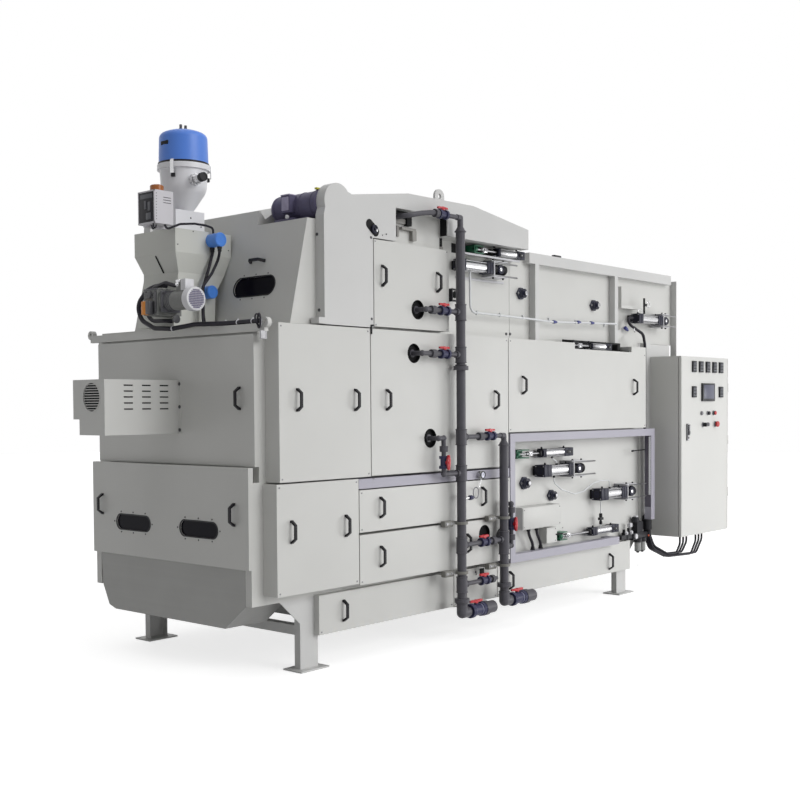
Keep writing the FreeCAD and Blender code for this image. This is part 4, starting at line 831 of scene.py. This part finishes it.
# Fittings on the air tubes
fittings = [turned(at(x - 26, y, z), RIGHT, [(0, 9), (2, 13), (24, 14), (28, 10), (44, 10), (52, 8.5)], 12)
    for x, y, z in ((2770, -8.3, 2259), (3115, -8.3, 2275), (3317, -8.3, 2279))]
fittings.append(turned(at(3800, -30, 2266), (0.7, -0.2, -0.5), [(0, 9), (3, 15), (30, 15), (36, 10), (48, 9)], 12))
fit(fittings, "air_fittings", "tube_white", blue_fitting)
fit([block((x, x + 8), (-18.5, 1), (2258, 2288)) for x in (1760, 2040, 2330, 2680, 3060, 3500)], "air_tube_clips",
    "tube_white")
black_fittings = [turned(at(3364, -60, 627), UP,
    [(0, 8), (4, 13), (26, 13), (28, 9), (60, 9), (62, 14), (88, 14), (92, 8)], 12),
    block((3336, 3392), (-72, -48), (664, 686), 4)]
black_fittings += [turned(at(x, y, z - 10), UP, [(0, 7), (2, 9.5), (18, 9.5), (20, 6)], 10)
    for x, y, z in ((2654, -75, 1058), (3480, -75, 921), (2690, -75, 1149), (2650, -60, 1208))]
fit(black_fittings, "tube_elbows", "tube_white", black_moulding)

# Junction box: lid, screws, glands and the manifold's dark side
fit(block((2186, 2686), (-115, -109), (686, 842), 3.0), "junction_lid", "housing_paint")
box_screws = [screw_head(at(x, -115, z), FRONT, 5, 2.5) for x in (2200, 2672) for z in (700, 828)]
box_screws += [screw_head(at(x - 20, -70, z), FRONT) for x, z in ((2700, 560), (2800, 560), (2700, 650), (2800, 650))]
fit(box_screws, "junction_screws", "stainless", bolt_steel)
BOX_GLAND = [(0, 19), (10, 19), (11, 15), (24, 15), (27, 12)]
box_glands = []
for x in (2330, 2436):
    box_glands += [turned(at(x, -60, 684), DOWN, BOX_GLAND, 10), turned(at(x + 55, -60, 512), UP, BOX_GLAND, 10)]
box_glands += [turned(at(2690 + x * 18, -70, 605), FRONT, [(0, 6), (6, 6), (7, 4)], 10) for x in range(6)]
box_glands.append(block((2562, 2640), (-66, -2), (556, 650), 4))
fit(box_glands, "junction_glands", "hose_black", black_moulding)

# Air service unit: knob, bowls, gauge and joint rings
BOWLS_X = (3985, 4063)
service = [turned(at(3960, -40, 596), UP, [(0, 30), (3, 34), (30, 34), (34, 28), (44, 28), (47, 20)], 24),
    block((3885, 4125), (-72, -66), (458, 498), 3.0)]
for x in BOWLS_X:
    service.append(ring(at(x, -50, 424), UP, 32, 36.5, 34, 32))
    service.append(turned(at(x, -50, 347), DOWN, [(0, 10), (2, 13), (12, 13), (16, 8)], 16))
fit(service, "service_knob", "service_dark")
fit([turned(at(x, -50, 342), UP, [(0, 16), (3, 24), (10, 28.2), (80, 28.4), (82, 26)]) for x in BOWLS_X],
    "service_bowls", "service_dark", clear_bowl)
fit(turned(at(3920, -68, 480), FRONT, [(0, 22), (10, 22), (12, 20), (11, 18.5)]), "service_dial", "gauge_steel",
    white_moulding)
fit(turned(at(4120, -44, 478), RIGHT, [(0, 9), (4, 14), (22, 14), (24, 10), (34, 9)], 12), "service_port",
    "tube_white", moulded("service_port_blue", (40, 110, 190), 0.34))

# Tower: the roller in its slanted slot, the notch's brackets, edge screws and cover bolts
# The black oblong plate is painted shade inside the slanted slot; the black strips and blocks at the notch and by the
# wall are partly dark pieces there and partly painted shade in the gaps.
tower_darks = [oblong_plate(at(546, COVER_Y, 2731), (0.80, 0, -0.60), FRONT, 132, 64, 1.4, 24),
    block((790, 986), (-64, -47), (2838, 2884), 2.0), block((931, 981), (-76, -47), (2793, 2860), 2.0),
    block((821, 842), (-56, -47), (2716, 2786), 1.0), block((1297, 1301), (-112, -56), (2762, 2882), 1.0),
    block((1305, 1345), (-36, 56), (2700, 2757), 1.0)]
fit(tower_darks, "tower_darks", "window_dark", deep_black)
fit([turned(at(556, -119, 2722), FRONT, [(0, 28), (16, 28), (19, 25), (19.5, 17), (15, 16), (15, 9)]),
    turned(at(556, -119, 2722), FRONT, [(0, 9), (22, 9), (23, 7)], 16)], "tower_roller", "bearing_iron", navy_casting)
fit(turned(at(568, -135, 2716), FRONT, [(0, 9), (5, 9), (6, 7)], 16), "tower_roller_end", "stainless", bright_steel)
grey_bracket = sheet_paint("bracket_grey_coat", (142, 140, 136), 0.4)
notch_pieces = blocks(((880, 1020), (-78, -47), (2762, 2780), 2.0), ((985, 1026), (-78, -47), (2700, 2765), 2.0),
    ((848, 868), (-62, -47), (2715, 2786)), ((806, 930), (-66, -47), (2800, 2834), 5.0),
    ((1302, 1346), (-45, 57), (2640, 2697), 3.0), ((1352, 1420), (20, 57), (2400, 2420), 2.0))
fit(notch_pieces, "notch_brackets", "frame_paint", grey_bracket)
fit(blocks(((1496, 1506), (0, 57), (2338, 2430)), ((1500, 1560), (0, 10), (2338, 2352)),
    ((1500, 1560), (0, 10), (2416, 2430))), "knob_bracket", "hose_black", black_moulding)
fit(turned(at(1528, 10, 2388), (1, -0.25, 0), [(0, 14), (4, 26), (40, 27), (44, 18), (58, 18), (60, 14)], 10),
    "bracket_knob", "frame_paint", casting("knob_grey_coat", (96, 98, 100), 0.5))
tower_screws = [hex_head(at(115, -60, 2650), LEFT, 8, 7), hex_head(at(115, -72, 2192), LEFT, 8, 7),
    hex_head(at(532, COVER_Y, 2668), FRONT, 7, 6), screw_head(at(640, COVER_Y, 2694), FRONT, 4, 3),
    screw_head(at(676, COVER_Y, 2704), FRONT), hex_head(at(533, COVER_Y, 2158), FRONT, 7, 6),
    hex_head(at(2212, 56, 2144), FRONT, 9, 8), hex_head(at(2262, 56, 2146), FRONT, 9, 8)]
fit(tower_screws, "tower_screws", "stainless", dark_bolt)
fit(blocks(((521, 531), (-128, -119), (2062, 2122), 2.0), ((521, 552), (-128, -119), (2112, 2122), 2.0)),
    "cover_hook", "hose_black", black_moulding)

# Drive motor: plate, seam rings and cap, and the tag on the tower's edge
fit(blocks(((82, 90), (158, 217), (2817, 2900), 3.0), ((84, 142), (148, 227), (2910, 2917), 2.0)), "motor_plate",
    "motor_dark", casting("motor_plate_coat", (166, 160, 186), 0.45))
motor_rings = [ring(at(205, y, 2850), BACK, 82.2, 85, 5, 56) for y in (10.0, 110.0, 250.0, 330.0)]
motor_rings.append(block((96, 160), (120, 300), (2756, 2770), 3.0))
fit(motor_rings, "motor_rings", "motor_dark")
fit(turned(at(96, 176, 2778), LEFT, [(0, 13), (10, 13), (14, 8)], 16), "motor_cap", "tube_white", white_moulding)
fit(block((132, 204), (-44, -24), (2926, 2938), 2.0), "motor_tag", "motor_dark", tag_yellow)

# Lump on the top beam, the hook and loops by the last unit, and the beam's near end
fit(block((2786, 2886), (2, 34), (2766, 2786), 8.0), "beam_rest", "hose_black", black_moulding)
fit(blocks(((4112, 4124), (-46, -30), (2396, 2532), 2.0), ((4116, 4160), (-46, -34), (2462, 2486), 4.0)), "unit_hook",
    "hose_black", black_moulding)


fit([loop_of(4190, -38, 2482, 26, 4.5), loop_of(3905, -60, 2262, 34, 5, (80, 0, 30)),
    loop_of(4060, -34, 2404, 36, 3, (90, 0, 0))], "tube_loops", "tube_white", bright_steel)
fit(loop_of(1565, -150, 1000, 38, 3.4, (90, 0, 8)), "gauge_coil", "tube_white", coil_steel)
fit([loop_of(-366, -66, 2104, 40, 6, (90, 0, 60)), loop_of(-350, -40, 2112, 34, 5, (80, 0, 20))], "beam_end_loops",
    "hose_black")
fit(hoop(at(-330, -62, 2096), FRONT, 15, 27, 12), "beam_end_ring", "tube_white", white_moulding)
fit(blocks(((-349, -300), (-62, -50), (2000, 2060), 3.0), ((-382, -350), (-100, -86), (2000, 2046), 3.0)),
    "beam_end_bracket", "frame_paint", pale_plate)

# Sensor rod, corrugated conduit and black sleeve at the right end
rod = [turned(at(3872, -60, 1214), (1, 0, 0.026), [(0, 8), (22, 8), (24, 5), (300, 5)], 12)]
sleeve = [turned(at(4134, -60, 520), UP, [(0, 30), (3, 38), (110, 38), (114, 32), (134, 30)], 20),
    block((4120, 4166), (-40, 0), (560, 640), 6.0)]
sleeve += [turned(at(x, -40, z - 80), UP, [(0, 14), (4, 20), (40, 20), (44, 12), (70, 12)], 12)
    for x, z in ((3770, 560), (3846, 566), (3905, 540))]
fit(rod + sleeve, "corner_sleeve", "hose_black", black_moulding)
folds = [(step * 7.5, 7.0 if step % 2 else 9.5) for step in range(68)]
fit(turned(at(4085, -108, 830), UP, folds, 12), "corner_conduit", "tube_white", pale_plate)
# A dark sheet on the inner face of the right upright, painted shade in the recess between the upright and the wall.
fit(block((4092.5, 4096), (-116, -56), (722, 1338), 0.8), "upright_shadow_side", "channel_paint",
    casting("upright_painted_shade", (96, 92, 106), 0.5))
bright_bits = blocks(((3838, 3880), (-64, -30), (560, 600), 9.0), ((3945, 3975), (-62, -30), (610, 656), 4.0))
bright_bits += [turned(at(x, -60, 520), FRONT, [(0, 17), (8, 17), (10, 13), (16, 13), (18, 8)], 20)
    for x in (3770, 3850)]
fit(bright_bits, "service_bright", "gauge_steel", pale_plate)
fit(turned(at(4128, -64, 470), FRONT, [(0, 9), (14, 9), (17, 6)], 16), "service_button", "lever_red",
    moulded("service_orange", (206, 84, 40), 0.3))

# Water pipes: rings at the sockets, ribbed union nuts, nuts on the valves and clip bolts
PIPE_Y = -190.0
collar = ring(at(1350, PIPE_Y, 2184), UP, 37.6, 40.2, 8, 40)
collar_z = [2242, 1954, 1395, 1150, 654, 385]
shifts = []
for z in collar_z:
    shifts += [(0, 0, z - 55 - 2184), (0, 0, z + 47 - 2184)]
shifts += [(490, 0, 545 - 2184), (490, 0, 703 - 2184), (490, 0, 272 - 2184), (0, 0, 252 - 2184), (0, 0, 1880 - 2184),
    (0, 0, 2782 - 2184), (490, 0, 1322 - 2184)]
pipe_rings = [collar] + copied(collar, shifts[1:])
socket_ring = ring(at(1398, PIPE_Y, 1395), RIGHT, 23.0, 25.2, 6, 32)
pipe_rings += [socket_ring] + copied(socket_ring,
    [(0, 0, 654 - 1395), (0, 0, 385 - 1395), (490, 0, 600 - 1395), (-102, 0, 2242 - 1395), (-102, 0, 1954 - 1395),
    (-102, 0, 1150 - 1395), (388, 0, 654 - 1395)])
fit(pipe_rings, "pipe_rings", "pipe_grey")
unions = [ribbed(at(x, PIPE_Y, z), RIGHT, 28.0, width)
    for x, z, width in ((1032, 2242, 46), (1032, 1954, 46), (1542, 1395, 46), (1692, 654, 40), (1682, 385, 28),
    (1077, 2880, 33))]
unions += [ribbed(at(x, PIPE_Y, z), UP, 28.0, width)
    for x, z, width in ((1160, 1302, 36), (1928, 642, 36), (1928, 838, 36))]
fit(unions, "union_nuts", "pipe_grey")
NUT_PITCH = 66.6
FLAT_VALVES = ((1160, 2880), (1171, 2242), (1171, 1954), (1677, 1395), (1602, 654), (1602, 385))
LARGE_VALVES = ((1506, 190), (1996, 210))
first = ribbed(at(1160 - 43, PIPE_Y, 2880), RIGHT, 32.0, 19.4)
valve_nuts = [first]
for x, z in FLAT_VALVES:
    moves = [(x - 1160, 0, z - 2880), (x - 1160 + NUT_PITCH, 0, z - 2880)]
    valve_nuts += copied(first, moves if (x, z) != (1160, 2880) else moves[1:])
stand = ribbed(at(1160, PIPE_Y, 1230 - 43), UP, 32.0, 19.4)
valve_nuts += [stand] + copied(stand, [(0, 0, NUT_PITCH), (768, 0, 757 - 1230), (768, 0, 757 - 1230 + NUT_PITCH)])
large = ribbed(at(1506 - 76, PIPE_Y, 190), RIGHT, 49.5, 33.4, 24)
valve_nuts += [large] + copied(large, [(118.6, 0, 0), (490, 0, 20), (608.6, 0, 20)])
fit(valve_nuts, "valve_nuts", "valve_grey")
pale_collars = []
for x, z in LARGE_VALVES:
    pale_collars.append(ring(at(x + 33, PIPE_Y, z), RIGHT, 40.2, 43.5, 9, 40))
    pale_collars.append(ring(at(x - 40, PIPE_Y, z), RIGHT, 40.2, 42.5, 5, 40))
fit(pale_collars, "valve_collars", "valve_grey", moulded("valve_pale_plastic", (140, 142, 168), 0.34))


def lever_trim(name, x, z, out, size):
    """A round cap over the pin and two ribs along the wings of a lever."""
    half, top = size
    start = at(x, PIPE_Y, z + top - 1) if out == UP else at(x, PIPE_Y - top + 1, z)
    made = [turned(start, out, [(0, 12), (3, 12), (5, 9)], 20)]
    for side in (-5, 5):
        if out == UP:
            rib = (about(x, half * 0.92), about(PIPE_Y + side, 1.5), (z + top - 1, z + top + 2.2))
        else:
            rib = (about(x + side, 1.5), (PIPE_Y - top - 2.2, PIPE_Y - top + 1), about(z, half * 0.92))
        made.append(block(*rib, 0.8))
    fit(made, name + "_trim", "lever_red", body="turning_" + name)


# Half a lever's length and the reach of its top
SMALL = (50, 47.5)
LARGE = (69, 68.5)
for lever in (("top_valve_lever", 1160, 2880, UP, SMALL), ("upper_valve_lever", 1171, 2242, UP, SMALL),
        ("middle_valve_lever", 1171, 1954, UP, SMALL), ("riser_valve_lever", 1160, 1230, FRONT, SMALL),
        ("cross_valve_lever", 1677, 1395, UP, SMALL), ("tray_valve_lever", 1602, 654, UP, SMALL),
        ("drain_valve_lever", 1602, 385, UP, SMALL), ("side_valve_lever", 1928, 757, FRONT, SMALL),
        ("main_inlet_lever", 1506, 190, UP, LARGE), ("second_inlet_lever", 1996, 210, UP, LARGE)):
    lever_trim(*lever)

clip_lugs = []
clip_bolts = []
for x in (1350, 1840):
    for z in (808.0, 468.0):
        clip_lugs.append(block((x - 152, x - 60), (-168, -128), (z - 22, z + 20), 6.0))
        clip_lugs.append(ring(at(x, PIPE_Y, z - 9), UP, 41, 43.5, 18, 40))
        for shift in (-132, -84):
            clip_bolts.append(hex_head(at(x + shift, -168, z), FRONT, 8, 7))
fit(clip_lugs, "clip_lugs", "pipe_grey", casting("clip_grey", (120, 119, 114), 0.55))
fit(clip_bolts, "clip_bolts", "stainless", bolt_steel)

# Gauge: rim, pale face, needle, and the thin tube to its stub
GAUGE_X = 1645
GAUGE_Z = 1121
fit(hoop(at(GAUGE_X, -149, GAUGE_Z), FRONT, 22, 27.6, 6.0, 40), "gauge_rim", "gauge_steel", black_moulding)
fit(turned(at(GAUGE_X, -149.5, GAUGE_Z), FRONT, [(0, 22.4), (1.2, 22.4)], 40), "gauge_face", "gauge_steel",
    moulded("gauge_dial", (222, 224, 240), 0.3))
gauge_marks = [block((1644, 1646), (-152, -150.4), (1117, 1137), 0.3),
    turned(at(GAUGE_X, -150.4, GAUGE_Z), FRONT, [(0, 3), (2, 3)], 12)]
for step in range(9):
    angle = math.radians(-45 + step * 33.75)
    x, z = GAUGE_X + 18 * math.cos(angle), GAUGE_Z + 18 * math.sin(angle)
    gauge_marks.append(block(about(x, 0.8), (-151.2, -150.5), about(z, 1.6), 0.2))
fit(gauge_marks, "gauge_marks", "gauge_steel", deep_black)
fit([turned(at(1640, -140, 1096), (-0.42, 0, -0.9), [(0, 3), (66, 3)], 10),
    turned(at(1478, -190, 975), (0.78, 0.5, -0.10), [(0, 3), (62, 3)], 10)], "gauge_tube", "stainless", bright_steel)
fit(turned(at(1434, PIPE_Y, 975), RIGHT, [(0, 12), (3, 17), (28, 17), (31, 12), (46, 12), (48, 9)], 8),
    "stub_fitting", "valve_grey")

# Cabinet door: instrument faces, caps on the buttons, the lock and the hinge ends
DOOR_X = 4292.0
DOOR_Y = -300.0
meter_frames = []
meter_panes = []
meter_keys = []
for along, z in [(232 + step * 131, 1942) for step in range(5)] + [(232, 1720), (756, 1720)]:
    x = DOOR_X + along
    meter_frames.append(block(about(x, 34), (DOOR_Y - 15, DOOR_Y - 11), about(z, 48), 2.0))
    meter_panes.append(block(about(x, 24), (DOOR_Y - 16.4, DOOR_Y - 14), (z + 16, z + 36), 1.0))
    meter_panes.append(block(about(x, 24), (DOOR_Y - 16.4, DOOR_Y - 14), (z - 12, z + 8), 1.0))
    for shift in (-18, 0, 18):
        meter_keys.append(block((x + shift - 5, x + shift + 5), (DOOR_Y - 17, DOOR_Y - 14), (z - 34, z - 26)))
fit(meter_frames, "meter_frames", "instrument_dark", body="door")
fit(meter_panes, "meter_panes", "instrument_dark", moulded("meter_pane", (62, 64, 74), 0.3), "door")
fit(meter_keys, "meter_keys", "instrument_dark", moulded("meter_key", (150, 152, 158), 0.4), "door")
screen_x = DOOR_X + 498
fit(block(about(screen_x, 120), (DOOR_Y - 17, DOOR_Y - 11), (1639, 1795), 4.0), "screen_bezel", "instrument_dark",
    body="door")
fit(block(about(screen_x, 98), (DOOR_Y - 18.2, DOOR_Y - 16), (1660, 1782), 1.0), "screen_pane", "instrument_dark",
    moulded("screen_glass", (74, 76, 98), 0.3), "door")
button_rims = []
button_black = []
button_scarlet = []
for along, z, radius, depth, kind in ((378, 1530, 15, 14, "silver"), (501, 1530, 16, 22, "black"),
        (615, 1531, 18, 24, "red"), (408, 1428, 18, 26, "black"), (505, 1429, 15, 14, "silver"),
        (649, 1430, 22, 34, "red")):
    x = DOOR_X + along
    button_rims.append(turned(at(x, DOOR_Y, z), FRONT,
        [(0, radius + 4), (4, radius + 4), (6, radius + 1.5), (8, radius + 1)]))
    group = {"silver": button_rims, "black": button_black, "red": button_scarlet}[kind]
    group.append(turned(at(x, DOOR_Y - depth + 5, z), FRONT,
        [(0, radius + 0.4), (4, radius + 0.4), (7, radius - 2), (6, radius * 0.5)]))
button_black.append(block((DOOR_X + 403, DOOR_X + 413), (DOOR_Y - 38, DOOR_Y - 24), (1410, 1446), 3.0))
mushroom = turned(at(DOOR_X + 649, DOOR_Y - 16, 1430), FRONT, [(0, 14), (2, 25), (13, 26), (17, 25), (18.6, 22.5)])
button_scarlet.append(mushroom)
fit(button_rims, "button_rims", "instrument_dark", coil_steel, "door")
fit(button_black, "button_caps", "instrument_dark", black_moulding, "door")
fit(button_scarlet, "button_red_caps", "instrument_dark", button_red, "door")
lock_trim = blocks(((DOOR_X + 98, DOOR_X + 130), (DOOR_Y - 13, DOOR_Y - 9), (1296, 1438), 3.0),
    ((DOOR_X + 105, DOOR_X + 123), (DOOR_Y - 27, DOOR_Y - 12), (1342, 1430), 4.0))
fit(lock_trim, "lock_trim", "instrument_dark", pale_plate, "door")
lock_dark = [turned(at(DOOR_X + 114, DOOR_Y - 12, 1318), FRONT, [(0, 10), (3, 10), (4, 6)], 24),
    block((DOOR_X + 109, DOOR_X + 119), (DOOR_Y - 28.5, DOOR_Y - 26), (1352, 1376), 1.0)]
fit(lock_dark, "lock_dark", "instrument_dark", black_moulding, "door")
fit(blocks(((DOOR_X + 8, DOOR_X + 11), (DOOR_Y - 2.2, DOOR_Y + 1), (468, 2018), 0.8),
    ((5188, 5191), (DOOR_Y - 2.2, DOOR_Y + 1), (468, 2018), 0.8)), "door_folds", "cabinet_paint", body="door")
PLATE_GLAND = [(0, 17), (8, 17), (9, 14), (22, 14), (25, 10)]
cable_plate = [block((4480, 5120), (-220, -60), (452.0, 456), 1.0)]
cable_plate += [turned(at(4560 + index * 100, -150 + index % 3 * 20, 452), DOWN, PLATE_GLAND, 8)
    for index in range(6)]
cable_plate.append(turned(at(5115, -90, 452), DOWN, PLATE_GLAND, 8))
fit(cable_plate, "cable_plate", "hose_black", black_moulding)

# Screws of the lift-off covers and skirts, and a slot and bolts on the skirt
cover_screws = []


def screw_row(points, y=COVER_Y):
    for x, z in points:
        cover_screws.append(screw_head(at(x, y, z), FRONT, 5.5))


screw_row(((-246, 1184), (496, 1184), (-246, 2078), (496, 2078), (544, 1150), (1972, 1150), (1972, 2078),
    (2022, 1432), (3978, 1432), (3978, 2030), (2022, 2078), (-272, 516), (380, 516), (-272, 1136), (380, 1136),
    (428, 834), (1988, 834), (428, 1064), (1988, 1064), (428, 505), (1988, 505), (572, 2124), (1290, 2124),
    (572, 2650), (1290, 2650)))
screw_row(((140, 222), (1420, 222), (1464, 222), (1930, 222), (1974, 222), (4000, 222), (1464, 434), (1420, 434)),
    -44.0)
fit(cover_screws, "cover_screws", "stainless", bolt_steel)
# A black sheet painted as the shade in the slot of the skirt.
fit(block((1740, 1795), (-46, -43), (384, 438), 2.0), "skirt_slot_shade", "window_dark", deep_black)
fit([hex_head(at(1694, -44, 419), FRONT, 7, 6), hex_head(at(1700, -44, 404), FRONT, 5, 5)], "skirt_bolts",
    "stainless", dark_bolt)

# Stage
deselect()
bpy.ops.mesh.primitive_plane_add(size=60.0, location=(2.0, 2.0, -0.001))
floor = bpy.context.object
floor.name = "floor"
floor_finish = Finish("floor_white")
floor_light = floor_finish.math("MAXIMUM", floor_finish.node("ShaderNodeLightPath", output="Is Camera Ray"),
                                floor_finish.node("ShaderNodeLightPath", output="Is Glossy Ray"))
floor_light = floor_finish.math("MAXIMUM", floor_light,
                                floor_finish.node("ShaderNodeLightPath", output="Is Transmission Ray"))
floor_finish.finish(base_color=(0.56, 0.56, 0.56, 1.0), roughness=0.7,
                    emission_color=floor_finish.mix(floor_light, (0, 0, 0, 1), (0.72, 0.72, 0.72, 1)))
floor_finish.surface.inputs["Emission Strength"].default_value = 1.0
floor.data.materials.append(floor_finish.material)

world = bpy.data.worlds.new("studio")
bpy.context.scene.world = world
world.use_nodes = True
tree = world.node_tree
background = tree.nodes["Background"]


def world_node(kind, feeds, values=None, **settings):
    made = tree.nodes.new(kind)
    for key, value in settings.items():
        setattr(made, key, value)
    for key, socket in feeds.items():
        tree.links.new(socket, made.inputs[key])
    for key, value in (values or {}).items():
        made.inputs[key].default_value = value
    return made.outputs


ways = world_node("ShaderNodeLightPath", {})
seen = world_node("ShaderNodeMath", {0: ways["Is Camera Ray"], 1: ways["Is Transmission Ray"]}, operation="MAXIMUM")
mirrored = world_node("ShaderNodeMath", {0: seen[0], 1: ways["Is Glossy Ray"]}, operation="MAXIMUM")
# The studio's wall towards the low end of X is the darker one
DIM_SIDE = 0.18
LIT_SIDE = 0.46
heading = world_node("ShaderNodeTexCoord", {})
split = world_node("ShaderNodeSeparateXYZ", {0: heading["Generated"]})
ambient = world_node("ShaderNodeMapRange", {"Value": split[0]},
                     {"From Min": -1.0, "To Min": DIM_SIDE, "To Max": LIT_SIDE}, interpolation_type="SMOOTHSTEP")
strength = world_node("ShaderNodeMapRange", {"Value": mirrored[0], "To Min": ambient["Result"]}, {"To Max": 1.0})
background.inputs["Color"].default_value = (1, 1, 1, 1)
tree.links.new(strength["Result"], background.inputs["Strength"])


def light(name, kind, energy, towards, place=(0, 0, 0), **settings):
    data = bpy.data.lights.new(name, kind)
    data.energy = energy
    for key, value in settings.items():
        setattr(data, key, value)
    lamp = bpy.data.objects.new(name, data)
    lamp.location = place
    lamp.rotation_euler = Vector(towards).to_track_quat("-Z", "Y").to_euler()
    bpy.context.scene.collection.objects.link(lamp)


light("key", "SUN", 1.36, (-0.22, 0.88, -0.40), angle=math.radians(35.0))
light("panel", "AREA", 128.0, (-3.5, 5.0, 0.0), (7.5, -5.0, 0.8), size=3.0)
light("top", "SUN", 0.5, (0.1, 0.1, -1.0), angle=math.radians(60.0))
